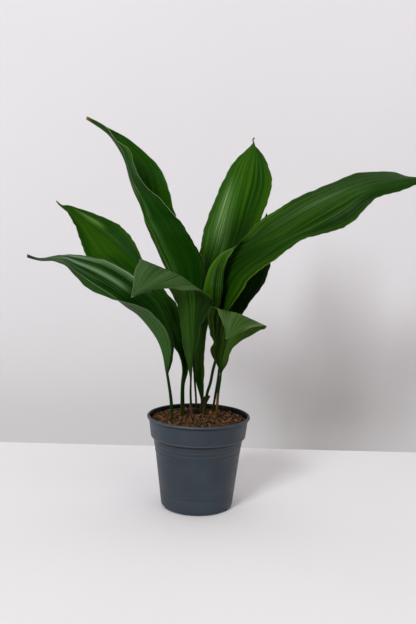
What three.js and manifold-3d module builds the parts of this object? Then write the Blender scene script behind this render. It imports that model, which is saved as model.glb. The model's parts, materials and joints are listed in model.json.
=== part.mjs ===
// A cast iron plant in a nursery pot: eight leaves, each one piece with its stalk, stand in plain holes in the soil.
// Millimetres, +Z up, origin at the centre of the pot's base. The front of the plant faces -Y.
import * as THREE from "three";
import { mergeVertices } from "three/addons/utils/BufferGeometryUtils.js";
import Module from "manifold-3d";

const wasm = await Module();
wasm.setup();

// Driving dimensions of the pot
const POT_HEIGHT = 126;
const RIM_RADIUS = 70;
const COLLAR_TOP_RADIUS = 67.3;
const COLLAR_BOTTOM_RADIUS = 64.4;
const COLLAR_TOP = 121;
const COLLAR_BOTTOM = 98;
const BODY_TOP_RADIUS = 60.2;
const BODY_TOP = 92;
const BASE_RADIUS = 46;
const WALL = 1.4;
const FLOOR = 2.5;
const POT_SEGMENTS = 36;
const DRAIN_HOLES = 6;
const DRAIN_HOLE_RADIUS = 4;
const DRAIN_CIRCLE = 27;
const NOTCHES = 3;
const NOTCH = { width: 18, depth: 8, height: 3, firstAngle: -42, centreRadius: BASE_RADIUS + 1 };

// Driving dimensions of the soil and of what stands in it
const CLEARANCE = 0.35;
const SOIL_LEVEL = 119.6;
const SOIL_RINGS = [1, 0.86, 0.71, 0.56, 0.41, 0.26, 0.12];
const SOIL_SEGMENTS = 30;
const LUMP_HEIGHT = 0.8;
const HOLLOW = { x: -1, y: 36, depth: 3, spread: 60 };
const FALL = { x: 38, y: 44, depth: 1.6, spread: 700 };
const RHIZOME_HEIGHT = 99;
const RHIZOME_RADIUS = 4.4;
const KNOB_RADIUS = 6;
const STALK_FOOT = RHIZOME_HEIGHT + KNOB_RADIUS + 0.5;
const HOLE_TOP = 128;

// Driving dimensions of the leaf blades
const BLADE = 0.7;
const TIP_HALF_WIDTH = 0.7;
const RIB_END = 0.3;
const ROW_STEPS = 2;
const HALF_STRIPS = 3;

const vector = (p) => new THREE.Vector3(...p);

// Closed solids to and from three.js geometry
function toSolid(geometry) {
  const bare = geometry.clone();
  bare.deleteAttribute("normal");
  bare.deleteAttribute("uv");
  const merged = mergeVertices(bare, 1e-4);
  const index = merged.index.array;
  const kept = [];
  for (let i = 0; i < index.length; i += 3) {
    const [a, b, c] = [index[i], index[i + 1], index[i + 2]];
    if (a !== b && b !== c && c !== a) kept.push(a, b, c);
  }
  return new wasm.Manifold(
    new wasm.Mesh({
      numProp: 3,
      vertProperties: new Float32Array(merged.attributes.position.array),
      triVerts: new Uint32Array(kept),
    }),
  );
}

function toGeometry(solid) {
  const mesh = solid.getMesh();
  const geometry = new THREE.BufferGeometry();
  geometry.setAttribute("position", new THREE.BufferAttribute(new Float32Array(mesh.vertProperties), 3));
  geometry.setIndex(new THREE.BufferAttribute(new Uint32Array(mesh.triVerts), 1));
  geometry.computeVertexNormals();
  return geometry;
}

// A profile of [radius, height] points turned about +Z
function turned(profile, segments) {
  const lathe = new THREE.LatheGeometry(
    profile.map(([radius, height]) => new THREE.Vector2(radius, height)),
    segments,
  );
  return lathe.rotateX(Math.PI / 2);
}

// A round bar along a smooth path
function bar(points, radius, sides, steps) {
  const circle = new THREE.Shape();
  circle.absarc(0, 0, radius, 0, 2 * Math.PI);
  return new THREE.ExtrudeGeometry(circle, {
    steps,
    curveSegments: sides / 2,
    extrudePath: new THREE.CatmullRomCurve3(points.map(vector), false, "centripetal"),
  });
}

// Pot: the wall, from the base's edge up to the rolled rim
const OUTER_WALL = [
  [BASE_RADIUS, 0],
  [BASE_RADIUS + 1.7, 1],
  [BASE_RADIUS + 2.8, 4],
  [BASE_RADIUS + 3.4, 8],
  [57.6, 76],
  [58.4, 78],
  [58.6, 83],
  [59.4, 85],
  [BODY_TOP_RADIUS, BODY_TOP],
  [COLLAR_BOTTOM_RADIUS, COLLAR_BOTTOM],
  [COLLAR_TOP_RADIUS, COLLAR_TOP],
  [RIM_RADIUS - 0.8, COLLAR_TOP + 0.8],
  [RIM_RADIUS, COLLAR_TOP + 2.4],
  [RIM_RADIUS - 0.3, POT_HEIGHT - 0.9],
  [RIM_RADIUS - 1.4, POT_HEIGHT],
  [RIM_RADIUS - 3, POT_HEIGHT - 0.3],
];
const INNER_WALL = [
  [COLLAR_TOP_RADIUS - WALL, COLLAR_TOP + 1],
  [COLLAR_BOTTOM_RADIUS - WALL, COLLAR_BOTTOM + 0.5],
  [BODY_TOP_RADIUS - WALL, BODY_TOP + 0.5],
  [57.4 - WALL, 76],
  [BASE_RADIUS + 3.4 - WALL, 9],
  [BASE_RADIUS + 1.2 - WALL, FLOOR],
];

function potGeometry() {
  let pot = toSolid(turned([[0, 0], ...OUTER_WALL, ...INNER_WALL, [0, FLOOR]], POT_SEGMENTS));
  for (let i = 0; i < DRAIN_HOLES; i++) {
    const angle = (2 * Math.PI * i) / DRAIN_HOLES;
    const hole = new THREE.CylinderGeometry(DRAIN_HOLE_RADIUS, DRAIN_HOLE_RADIUS, 4 * FLOOR, 12);
    hole.rotateX(Math.PI / 2);
    hole.translate(DRAIN_CIRCLE * Math.cos(angle), DRAIN_CIRCLE * Math.sin(angle), FLOOR / 2);
    pot = pot.subtract(toSolid(hole));
  }
  for (let i = 0; i < NOTCHES; i++) {
    const notch = new THREE.BoxGeometry(NOTCH.depth, NOTCH.width, 2 * NOTCH.height);
    notch.translate(NOTCH.centreRadius, 0, 0);
    notch.rotateZ(THREE.MathUtils.degToRad(NOTCH.firstAngle) + (2 * Math.PI * i) / NOTCHES);
    pot = pot.subtract(toSolid(notch));
  }
  return toGeometry(pot);
}

// Leaves: feet stand at the soil's surface, stalks run up from them.
// Each row crosses the blade from margin to midrib to margin. Seen from above the blade, the first is on the left.
// A row's fourth entry is how far each half bows up from straight at its middle.
const LEAVES = {
  // Tall leaf behind the middle, its upper face to the front
  leaf_back_tall: {
    foot: [3, 45],
    radius: [2, 1.7],
    stalk: [[4, 47, 135]],
    rows: [
      [[-4, 42, 158], [2, 48, 155], [6, 42, 158]],
      [[-10, 43, 179], [-1, 50, 177], [6, 42, 180]],
      [[-10, 48, 207], [-1, 55, 206], [6, 47, 209]],
      [[-9, 50, 242], [1, 62, 240], [11, 54, 246]],
      [[-7, 50, 278], [7, 66, 275], [26, 58, 282]],
      [[-6, 60, 316], [16, 68, 312], [48, 70, 323]],
      [[-4, 73, 347], [29, 74, 341], [63, 83, 353]],
      [[1, 85, 378], [39, 81, 378], [77, 94, 380]],
      [[13, 96, 413], [47, 91, 415], [90, 106, 413]],
      [[24, 105, 441], [54, 101, 444], [98, 115, 444]],
      [[39, 113, 471], [61, 111, 472], [93, 121, 469]],
      [[57, 120, 491], [67, 120, 493], [80, 124, 492]],
      [[66, 125, 500], [69, 126, 501], [73, 126, 499]],
      [[69, 128, 505], [70, 129, 505], [71, 129, 505]],
    ],
    tip: [70, 132, 514],
  },
  // Tall leaf that leans to the left: folded along its midrib above, open below, its underside to the front
  leaf_left_tall: {
    foot: [-4, 50],
    radius: [1.3, 1.2],
    stalk: [[-5, 45, 143], [-7, 36, 166], [-9, 34, 195], [-12, 33, 223], [-14, 32, 248]],
    rows: [
      [[-6, 28, 276], [-18, 30, 271], [-25, 30, 269]],
      [[0, 20, 297], [-31, 27, 291], [-35, 28, 289]],
      [[3, 10, 317], [-40, 21, 311], [-45, 32, 309]],
      [[0, 2, 339], [-49, 14, 331], [-55, 37, 332], [0, -2]],
      [[-11, -6, 357], [-58, 6, 351], [-64, 38, 353], [0, -2]],
      [[-19, -13, 371], [-66, -2, 370], [-71, 35, 371], [0, -3]],
      [[-30, -18, 387], [-76, -8, 388], [-65, 34, 377], [0, -5]],
      [[-42, -26, 399], [-82, -16, 406], [-38, 23, 389], [0, -10]],
      [[-56, -34, 415], [-90, -22, 423], [-42, 12, 409], [0, -8]],
      [[-75, -40, 431], [-96, -27, 440], [-46, -1, 427], [0, -5]],
      [[-88, -47, 454], [-101, -35, 460], [-56, -11, 452]],
      [[-93, -52, 473], [-109, -43, 476], [-73, -20, 470]],
      [[-108, -58, 483], [-119, -53, 490], [-99, -36, 490]],
    ],
    tip: [-147, -60, 511],
  },
  // Leaf behind the left front one, its upper face to the front
  leaf_left_back: {
    foot: [-22, 18],
    radius: [2.6, 2.3],
    stalk: [[-23, 20, 141], [-23, 20, 162]],
    rows: [
      [[-24, 18, 182], [-21, 22, 180], [-16, 20, 182]],
      [[-28, 19, 201], [-22, 26, 199], [-16, 25, 205]],
      [[-39, 20, 219], [-27, 28, 221], [-20, 28, 228]],
      [[-51, 24, 243], [-35, 33, 246], [-27, 31, 255]],
      [[-71, 29, 264], [-47, 39, 271], [-35, 35, 273]],
      [[-95, 32, 288], [-63, 44, 292], [-50, 40, 289]],
      [[-125, 36, 309], [-81, 51, 316], [-69, 47, 313]],
      [[-146, 42, 325], [-101, 58, 334], [-84, 55, 333]],
      [[-162, 48, 335], [-117, 64, 346], [-97, 62, 356]],
      [[-169, 55, 349], [-132, 71, 358], [-108, 69, 370]],
      [[-176, 63, 365], [-148, 78, 369], [-123, 76, 381]],
      [[-184, 73, 380], [-163, 86, 381], [-141, 84, 389]],
      [[-196, 88, 395], [-189, 95, 398], [-180, 93, 399]],
      [[-208, 101, 405], [-204, 102, 405], [-200, 102, 405]],
    ],
    tip: [-216, 108, 412],
  },
  // Leaf that arches out to the left and to the front, its near half curled up low down
  leaf_left_front: {
    foot: [-36, -9],
    radius: [2.1, 1.5],
    stalk: [[-37, -10, 143], [-39, -10, 158], [-41, -10, 170], [-43, -10, 181]],
    rows: [
      [[-41, -16, 192], [-45, -10, 191], [-39, -3, 191]],
      [[-38, -31, 217], [-49, -12, 211], [-36, 7, 210]],
      [[-40, -39, 236], [-56, -14, 229], [-37, 13, 232]],
      [[-48, -45, 253], [-68, -18, 247], [-44, 13, 256]],
      [[-61, -51, 268], [-83, -23, 264], [-52, 11, 275]],
      [[-76, -58, 278], [-97, -29, 274], [-64, 7, 290]],
      [[-91, -64, 283], [-109, -35, 284], [-79, 2, 304]],
      [[-110, -68, 287], [-123, -40, 294], [-97, -4, 318]],
      [[-128, -74, 294], [-136, -48, 303], [-120, -11, 331]],
      [[-143, -78, 303], [-149, -55, 313], [-140, -21, 337]],
      [[-155, -82, 315], [-160, -63, 322], [-158, -33, 340]],
      [[-166, -85, 328], [-170, -70, 332], [-172, -47, 341]],
      [[-183, -87, 334], [-185, -78, 337], [-187, -62, 339]],
      [[-197, -90, 334], [-198, -85, 336], [-200, -76, 339]],
      [[-205, -94, 336], [-206, -91, 338], [-206, -87, 339]],
    ],
    tip: [-212, -97, 340],
  },
  // Front leaf, its upper third folded down over a slanting crease to the left
  leaf_front_folded: {
    foot: [-9, 19],
    radius: [1.5, 1.3],
    stalk: [[-11, 21, 135], [-12, 19, 153], [-12, 16, 173]],
    rows: [
      [[-10, 13, 189], [-12, 13, 187], [-16, 13, 187]],
      [[-8, 10, 207], [-12, 8, 206], [-21, 12, 207]],
      [[-2, 5, 228], [-13, 2, 228], [-25, 9, 226]],
      [[0, 0, 246], [-14, -5, 249], [-27, 5, 245]],
      [[9, -8, 265], [-15, -14, 271], [-30, -1, 266]],
      [[16, -18, 279], [-17, -24, 290], [-36, -10, 285]],
      [[16, -28, 285], [-20, -38, 306], [-50, -34, 309]],
      [[13, -38, 289], [-27, -52, 318], [-76, -62, 338]],
      [[2, -46, 298], [-36, -63, 315], [-79, -70, 334]],
      [[-22, -54, 299], [-47, -70, 311], [-83, -75, 322]],
      [[-44, -62, 302], [-60, -75, 306], [-84, -79, 311]],
      [[-64, -70, 299], [-74, -79, 299], [-85, -81, 300]],
    ],
    tip: [-86, -82, 291],
  },
  // Small front right leaf, folded down over a crease of its own
  leaf_right_folded: {
    foot: [25, 2],
    radius: [1.7, 1.4],
    stalk: [[25, 1, 139], [26, -1, 158], [28, -3, 175], [29, -4, 186]],
    rows: [
      [[37, -7, 198], [29, -8, 198], [23, -6, 196]],
      [[40, -10, 212], [31, -14, 212], [14, -9, 214]],
      [[46, -14, 224], [33, -20, 225], [17, -13, 228]],
      [[66, -20, 238], [36, -26, 240], [13, -18, 238]],
      [[78, -27, 247], [39, -33, 253], [11, -24, 251]],
      [[85, -33, 251], [43, -40, 264], [8, -30, 265]],
      [[86, -38, 254], [48, -46, 271], [12, -38, 276]],
      [[82, -43, 255], [46, -53, 268], [20, -48, 277]],
      [[69, -49, 254], [43, -58, 262], [24, -54, 268]],
      [[56, -55, 249], [40, -61, 255], [29, -58, 258]],
      [[44, -60, 244], [37, -63, 247], [32, -61, 250]],
    ],
    tip: [33, -64, 240],
  },
  // Long leaf that arches out to the right, its upper face tilted to the front
  leaf_right_long: {
    foot: [7, 30],
    radius: [1.8, 1.7],
    stalk: [[9, 28, 134], [11, 26, 150], [15, 23, 165], [18, 20, 183], [22, 16, 202], [24, 11, 226]],
    rows: [
      [[20, -3, 256], [22, 12, 250], [31, 2, 253], [-7, 0]],
      [[26, -14, 281], [19, 12, 272], [36, -10, 270], [-18, 0]],
      [[28, -19, 301], [17, 8, 294], [49, -21, 291], [-21, 0]],
      [[29, -21, 322], [22, 3, 314], [61, -27, 312], [-17, 0]],
      [[34, -23, 340], [35, -5, 331], [74, -34, 326], [-14, 0]],
      [[45, -19, 357], [54, -13, 347], [89, -41, 337], [-8, 0]],
      [[59, -10, 373], [76, -21, 361], [109, -47, 354], [-4, 0]],
      [[76, -1, 391], [101, -29, 373], [128, -53, 368]],
      [[96, -1, 404], [124, -35, 389], [147, -58, 374]],
      [[118, -3, 419], [148, -42, 404], [169, -64, 381], [0, 5]],
      [[143, -7, 431], [172, -49, 419], [186, -69, 391], [0, 6]],
      [[170, -13, 443], [193, -55, 430], [202, -73, 410], [0, 4]],
      [[194, -21, 453], [212, -61, 437], [217, -75, 423]],
      [[217, -32, 456], [229, -67, 441], [232, -79, 427]],
      [[236, -44, 455], [243, -72, 444], [246, -81, 432]],
      [[253, -61, 449], [258, -77, 446], [259, -83, 438]],
    ],
    tip: [276, -83, 446],
  },
  // Leaf in the shade of the long one
  leaf_right_back: {
    foot: [20, 47],
    radius: [1.5, 1.4],
    stalk: [[22, 49, 138], [24, 49, 153], [26, 48, 168], [27, 47, 181], [28, 46, 192]],
    rows: [
      [[24, 42, 213], [30, 46, 211], [39, 43, 214]],
      [[24, 39, 237], [35, 45, 234], [46, 41, 236]],
      [[26, 36, 262], [40, 44, 257], [56, 39, 258]],
      [[30, 36, 283], [47, 45, 278], [68, 40, 278]],
      [[37, 36, 305], [56, 46, 301], [84, 42, 300]],
      [[48, 40, 327], [66, 50, 324], [93, 47, 322]],
      [[58, 46, 349], [74, 55, 347], [95, 53, 344]],
      [[69, 53, 369], [81, 61, 368], [95, 60, 367]],
      [[81, 63, 387], [86, 67, 387], [93, 67, 386]],
    ],
    tip: [89, 74, 401],
  },
};

// The three rails of a leaf, from the stalk's foot in the soil to the tip, and the bow of each half at each row
function leafRails({ foot, stalk, rows, tip, radius }) {
  const across = (row) => vector(row[2]).sub(vector(row[0])).normalize();
  const stalkPoints = [[...foot, STALK_FOOT], [...foot, SOIL_LEVEL + 2], ...stalk];
  const rails = [[], [], []];
  const bows = [];
  const addBar = (middle, side, halfWidth) => {
    rails[0].push(vector(middle).addScaledVector(side, -halfWidth));
    rails[1].push(vector(middle));
    rails[2].push(vector(middle).addScaledVector(side, halfWidth));
    bows.push([0, 0]);
  };
  stalkPoints.forEach((point, i) => {
    const share = i / (stalkPoints.length - 1);
    addBar(point, across(rows[0]), THREE.MathUtils.lerp(radius[0], radius[1], share));
  });
  for (const row of rows) {
    for (let i = 0; i < 3; i++) rails[i].push(vector(row[i]));
    bows.push(row[3] ?? [0, 0]);
  }
  addBar(tip, across(rows.at(-1)), TIP_HALF_WIDTH);
  return {
    curves: rails.map((points) => new THREE.CatmullRomCurve3(points, false, "centripetal")),
    bows,
    stalkRows: stalkPoints.length,
    allRows: rails[0].length,
  };
}

// One closed solid from a grid of places with a thickness above and below each
function skinned(places, above, below) {
  const rowCount = places.length;
  const width = places[0].length;
  const positions = [];
  const upper = (row, i) => 2 * (row * width + i);
  const lower = (row, i) => upper(row, i) + 1;
  for (let row = 0; row < rowCount; row++) {
    for (let i = 0; i < width; i++) {
      const along = places[Math.min(row + 1, rowCount - 1)][i].clone().sub(places[Math.max(row - 1, 0)][i]);
      const across = places[row][Math.min(i + 1, width - 1)].clone().sub(places[row][Math.max(i - 1, 0)]);
      const normal = across.cross(along).normalize();
      positions.push(...places[row][i].clone().addScaledVector(normal, above[row][i]));
      positions.push(...places[row][i].clone().addScaledVector(normal, -below[row][i]));
    }
  }
  const index = [];
  const quad = (a, b, c, d) => index.push(a, b, c, a, c, d);
  for (let row = 0; row + 1 < rowCount; row++) {
    for (let i = 0; i + 1 < width; i++) {
      const corners = [[row, i], [row, i + 1], [row + 1, i + 1], [row + 1, i]];
      const [a, b, c, d] = corners.map(([r, k]) => upper(r, k));
      quad(a, b, c, d);
      const [e, f, g, h] = corners.map(([r, k]) => lower(r, k));
      index.push(e, g, f, e, h, g);
    }
    quad(upper(row, 0), upper(row + 1, 0), lower(row + 1, 0), lower(row, 0));
    const last = width - 1;
    quad(upper(row, last), lower(row, last), lower(row + 1, last), upper(row + 1, last));
  }
  const end = rowCount - 1;
  for (let i = 0; i + 1 < width; i++) {
    quad(upper(0, i), lower(0, i), lower(0, i + 1), upper(0, i + 1));
    quad(upper(end, i), upper(end, i + 1), lower(end, i + 1), lower(end, i));
  }
  const geometry = new THREE.BufferGeometry();
  geometry.setAttribute("position", new THREE.Float32BufferAttribute(positions, 3));
  geometry.setIndex(index);
  geometry.computeVertexNormals();
  return geometry;
}

// A leaf: round at its stalk, thin in its blade, with the midrib proud of the underside
function leafGeometry(leaf) {
  const { curves, bows, stalkRows, allRows } = leafRails(leaf);
  const stations = ROW_STEPS * (allRows - 1);
  const places = [];
  const above = [];
  const below = [];
  for (let station = 0; station <= stations; station++) {
    const t = station / stations;
    const [first, middle, last] = curves.map((curve) => curve.getPoint(t));
    const along = curves[1].getTangent(t);
    const place = t * (allRows - 1);
    const row = Math.min(Math.floor(place), allRows - 2);
    const bow = [0, 1].map((half) => THREE.MathUtils.lerp(bows[row][half], bows[row + 1][half], place - row));
    const bladeShare = THREE.MathUtils.smoothstep(place, stalkRows - 1, stalkRows + 1);
    const towardsTip = THREE.MathUtils.clamp((place - stalkRows + 1) / (allRows - stalkRows), 0, 1);
    const stalkShare = THREE.MathUtils.clamp(place / (stalkRows - 1), 0, 1);
    const stalkRadius = THREE.MathUtils.lerp(leaf.radius[0], leaf.radius[1], stalkShare);
    const rib = THREE.MathUtils.lerp(leaf.radius[1], RIB_END, towardsTip);
    const rowPlaces = [];
    const rowAbove = [];
    const rowBelow = [];
    for (let i = -HALF_STRIPS; i <= HALF_STRIPS; i++) {
      const share = Math.abs(i) / HALF_STRIPS;
      const margin = i < 0 ? first : last;
      const upward = margin.clone().sub(middle).multiplyScalar(Math.sign(i)).cross(along).normalize();
      const lift = 4 * share * (1 - share) * bow[i < 0 ? 0 : 1];
      rowPlaces.push(middle.clone().lerp(margin, share).addScaledVector(upward, lift));
      const round = Math.max(BLADE / 2, stalkRadius * Math.sqrt(1 - share * share));
      rowAbove.push(THREE.MathUtils.lerp(round, BLADE / 2, bladeShare));
      rowBelow.push(THREE.MathUtils.lerp(round, i === 0 ? BLADE / 2 + rib : BLADE / 2, bladeShare));
    }
    places.push(rowPlaces);
    above.push(rowAbove);
    below.push(rowBelow);
  }
  return skinned(places, above, below);
}

// Dried scales at the feet of the stalks: rows as on a leaf, from below the soil's surface to the torn end
const SCALES = {
  // Brown scale behind the stalk of the long right leaf, showing on both sides of it
  scale_middle: [
    [[2.4, 38, 112], [4.5, 40, 112], [6.5, 38.5, 112]],
    [[1.8, 37.5, 124], [4.5, 40, 124], [7, 38, 124]],
    [[2.6, 37, 134], [7, 39.5, 134], [11, 37, 134]],
    [[6.3, 35.5, 143], [11, 37, 146], [15.8, 33.5, 144]],
  ],
  // Yellowed scale against the stalk of the small right leaf
  scale_right: [
    [[22.6, -1.6, 112], [24.4, -2.6, 112], [26, -2, 112]],
    [[22.6, -1.8, 124], [24.5, -2.8, 124], [26.2, -2, 124]],
    [[23.4, -3, 142], [25.2, -4, 142], [26.6, -3.2, 142]],
    [[24.5, -4, 155], [26, -4.7, 157.5], [27.4, -4.3, 156.5]],
  ],
  // Short brown stub in front of the folded front leaf's stalk
  scale_front: [
    [[-11, 14.5, 112], [-9, 14, 112], [-7, 14.5, 112]],
    [[-11.5, 15, 122], [-9.5, 14.4, 122], [-7.3, 15, 122]],
    [[-13, 16, 130], [-11, 15.4, 130], [-9, 16, 130]],
    [[-13.6, 16.5, 135], [-12, 16, 136], [-10.6, 16.5, 135]],
  ],
};
const SCALE_THICKNESS = 0.8;
const SCALE_HOLE_RADIUS = 4.6;

function scaleGeometry(rows) {
  const half = SCALE_THICKNESS / 2;
  const places = rows.map((row) => {
    const [first, middle, last] = row.map(vector);
    return [first, first.clone().lerp(middle, 0.5), middle, middle.clone().lerp(last, 0.5), last];
  });
  const thickness = places.map((row) => row.map(() => half));
  return skinned(places, thickness, thickness);
}

// Rhizome: a creeping stem under the soil, with a knob under each stalk
const foot = (name) => [...LEAVES[name].foot, RHIZOME_HEIGHT];
const RHIZOME_PATHS = [
  [
    [-44, -17, RHIZOME_HEIGHT],
    foot("leaf_left_front"),
    foot("leaf_left_back"),
    foot("leaf_front_folded"),
    foot("leaf_right_long"),
    [18, 17, RHIZOME_HEIGHT],
    foot("leaf_right_folded"),
    [30, -9, RHIZOME_HEIGHT],
  ],
  [foot("leaf_right_long"), foot("leaf_back_tall"), foot("leaf_left_tall"), [-13, 50, RHIZOME_HEIGHT]],
  [foot("leaf_right_long"), [14, 38, RHIZOME_HEIGHT], foot("leaf_right_back"), [27, 45, RHIZOME_HEIGHT]],
];

function rhizomeSolid(extra) {
  let solid = null;
  for (const path of RHIZOME_PATHS) {
    const stem = toSolid(bar(path, RHIZOME_RADIUS + extra, 6, path.length + 2));
    solid = solid ? solid.add(stem) : stem;
  }
  for (const leaf of Object.values(LEAVES)) {
    const knob = new THREE.SphereGeometry(KNOB_RADIUS + extra, 6, 4);
    knob.rotateX(Math.PI / 2);
    knob.translate(leaf.foot[0], leaf.foot[1], RHIZOME_HEIGHT);
    solid = solid.add(toSolid(knob));
  }
  return solid;
}

// Soil: fills the pot to just under the rim, with a lumpy top and a hollow behind the middle
function soilHeight(x, y) {
  const lumps = Math.sin(x * 0.21 + 1) * Math.cos(y * 0.24) + 0.7 * Math.sin(x * 0.47 - y * 0.38 + 2);
  const dip = ({ x: x0, y: y0, depth, spread }) => depth * Math.exp(-((x - x0) ** 2 + (y - y0) ** 2) / spread);
  return SOIL_LEVEL + LUMP_HEIGHT * lumps - dip(HOLLOW) - dip(FALL);
}

function soilGeometry() {
  const inside = INNER_WALL.slice(1).map(([radius, height]) => [radius - CLEARANCE, height]);
  const floorEdge = [inside.at(-1)[0], FLOOR + CLEARANCE];
  const wallSlope = (COLLAR_TOP_RADIUS - COLLAR_BOTTOM_RADIUS) / (COLLAR_TOP - COLLAR_BOTTOM);
  const topRadius = inside[0][0] + wallSlope * (SOIL_LEVEL - 4 - COLLAR_BOTTOM);
  const sides = [floorEdge, ...inside.slice(0, -1).reverse(), [topRadius, SOIL_LEVEL - 3]];
  const top = SOIL_RINGS.map((share) => [share * (topRadius - 0.3), SOIL_LEVEL]);
  const geometry = turned([[0, FLOOR + CLEARANCE], ...sides, ...top, [0, SOIL_LEVEL]], SOIL_SEGMENTS);
  const position = geometry.attributes.position;
  for (let i = 0; i < position.count; i++) {
    if (Math.abs(position.getZ(i) - SOIL_LEVEL) < 0.01) {
      position.setZ(i, soilHeight(position.getX(i), position.getY(i)));
    }
  }
  let soil = toSolid(geometry).subtract(rhizomeSolid(CLEARANCE));
  for (const leaf of Object.values(LEAVES)) {
    const { curves, stalkRows, allRows } = leafRails(leaf);
    const path = [[...leaf.foot, RHIZOME_HEIGHT]];
    for (let row = 0; row < stalkRows && path.at(-1)[2] < HOLE_TOP; row += 0.5) {
      path.push(curves[1].getPoint(row / (allRows - 1)).toArray());
    }
    soil = soil.subtract(toSolid(bar(path, leaf.radius[0] + 1.5 * CLEARANCE, 10, 3)));
  }
  for (const rows of Object.values(SCALES)) {
    const [low, high] = rows.map((row) => row[1]);
    const slot = [[low[0], low[1], low[2] - 2 * CLEARANCE], low, high, [high[0], high[1], HOLE_TOP]];
    soil = soil.subtract(toSolid(bar(slot, SCALE_HOLE_RADIUS, 10, 3)));
  }
  return toGeometry(soil);
}

// Finishes
const finish = (color, roughness) => new THREE.MeshStandardMaterial({ color, roughness, metalness: 0 });
const POT_PLASTIC = finish(0x3e464e, 0.55);
const COIR_SOIL = finish(0x6e5440, 0.95);
const RHIZOME_SKIN = finish(0x9a8a62, 0.8);
const LEAF_GREEN = finish(0x2c5a22, 0.4);
const DRIED_SCALE = finish(0x7a5a3c, 0.85);

const plant = new THREE.Group();
function addPiece(name, geometry, material) {
  const mesh = new THREE.Mesh(geometry, material);
  mesh.name = name;
  plant.add(mesh);
}

addPiece("pot", potGeometry(), POT_PLASTIC);
addPiece("soil", soilGeometry(), COIR_SOIL);
addPiece("rhizome", toGeometry(rhizomeSolid(0)), RHIZOME_SKIN);
for (const [name, leaf] of Object.entries(LEAVES)) addPiece(name, leafGeometry(leaf), LEAF_GREEN);
for (const [name, rows] of Object.entries(SCALES)) addPiece(name, scaleGeometry(rows), DRIED_SCALE);

export default plant;
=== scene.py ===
"""Looks of a cast iron plant in a nursery pot: eight veined leaves, dried scales, crumbly soil, the pot.

Lengths are written in millimetres and made into metres where a mesh is built. +Z is up, and -Y is the front.
"""

import json
import math

import bmesh
import bpy
import numpy as np
from mathutils import Matrix, Vector

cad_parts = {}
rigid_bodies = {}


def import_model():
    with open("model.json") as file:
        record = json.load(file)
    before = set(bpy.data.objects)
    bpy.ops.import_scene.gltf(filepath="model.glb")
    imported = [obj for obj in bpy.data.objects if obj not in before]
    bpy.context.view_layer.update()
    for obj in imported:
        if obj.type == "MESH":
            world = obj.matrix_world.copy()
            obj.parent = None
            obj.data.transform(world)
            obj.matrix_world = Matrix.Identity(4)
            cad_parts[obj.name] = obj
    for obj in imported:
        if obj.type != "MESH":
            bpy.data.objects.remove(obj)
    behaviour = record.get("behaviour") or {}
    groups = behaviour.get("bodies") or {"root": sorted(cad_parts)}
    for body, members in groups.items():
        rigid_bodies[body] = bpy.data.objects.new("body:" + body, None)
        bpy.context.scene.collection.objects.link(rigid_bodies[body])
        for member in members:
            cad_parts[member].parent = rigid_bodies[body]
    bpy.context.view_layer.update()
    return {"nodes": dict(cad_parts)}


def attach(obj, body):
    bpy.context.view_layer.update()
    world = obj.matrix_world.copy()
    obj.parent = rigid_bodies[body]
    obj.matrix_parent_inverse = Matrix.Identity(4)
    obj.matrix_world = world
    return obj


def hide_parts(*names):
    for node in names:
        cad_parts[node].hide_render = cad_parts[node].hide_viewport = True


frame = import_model()

MM = 0.001
SEED = 7

# Camera that fits the pot's rim and base in the photograph, and the photograph's height in pixels
PHOTO_HEIGHT = 624
FOCAL_PIXELS = 800
CAMERA_PLACE = (9.3, -1067.5, 384)
CAMERA_PITCH = 6.28
CAMERA_ROLL = 1.44
SENSOR_WIDTH = 36

# Pot, as in the solids
POT_HEIGHT = 126
RIM_RADIUS = 70
COLLAR_TOP_RADIUS = 67.3
COLLAR_BOTTOM_RADIUS = 64.4
COLLAR_TOP = 121
COLLAR_BOTTOM = 98
BODY_TOP_RADIUS = 60.2
BODY_TOP = 92
BASE_RADIUS = 46
WALL = 1.4
FLOOR = 2.5
POT_SEGMENTS = 180
DRAIN_HOLES = 6
DRAIN_HOLE_RADIUS = 4
DRAIN_CIRCLE = 27
NOTCHES = 3
NOTCH = {"width": 18, "depth": 8, "height": 3, "first_angle": -42, "centre_radius": BASE_RADIUS + 1}

# Soil
SOIL_LEVEL = 119.6
LUMP_HEIGHT = 0.8
HOLLOW = {"x": -1, "y": 36, "depth": 3, "spread": 60}
FALL = {"x": 38, "y": 44, "depth": 1.6, "spread": 700}
CLEARANCE = 0.35

# Leaves
STALK_FOOT = 105.5
BLADE = 0.5
MARGIN_SHARE = 0.35
TIP_HALF_WIDTH = 0.5
RIB_END = 0.2
ROW_STEPS = 9
HALF_STRIPS = 26
FOLD_ROUNDING = 0.07
STALK_SWELL = 1.2
STALK_MARGIN = 9.0
PLEAT_COUNTS = (7, 9.5, 12.5)
RIPPLE_LENGTHS = (31, 19, 47)
WANDER_LENGTHS = (23, 13, 37)
MARGIN_WANDER = 0.9
NARROW_BLADE, OPEN_BLADE = 3, 14
RIB_GROOVE_DEPTH, RIB_GROOVE_WIDTH = 0.25, 0.9

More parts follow.
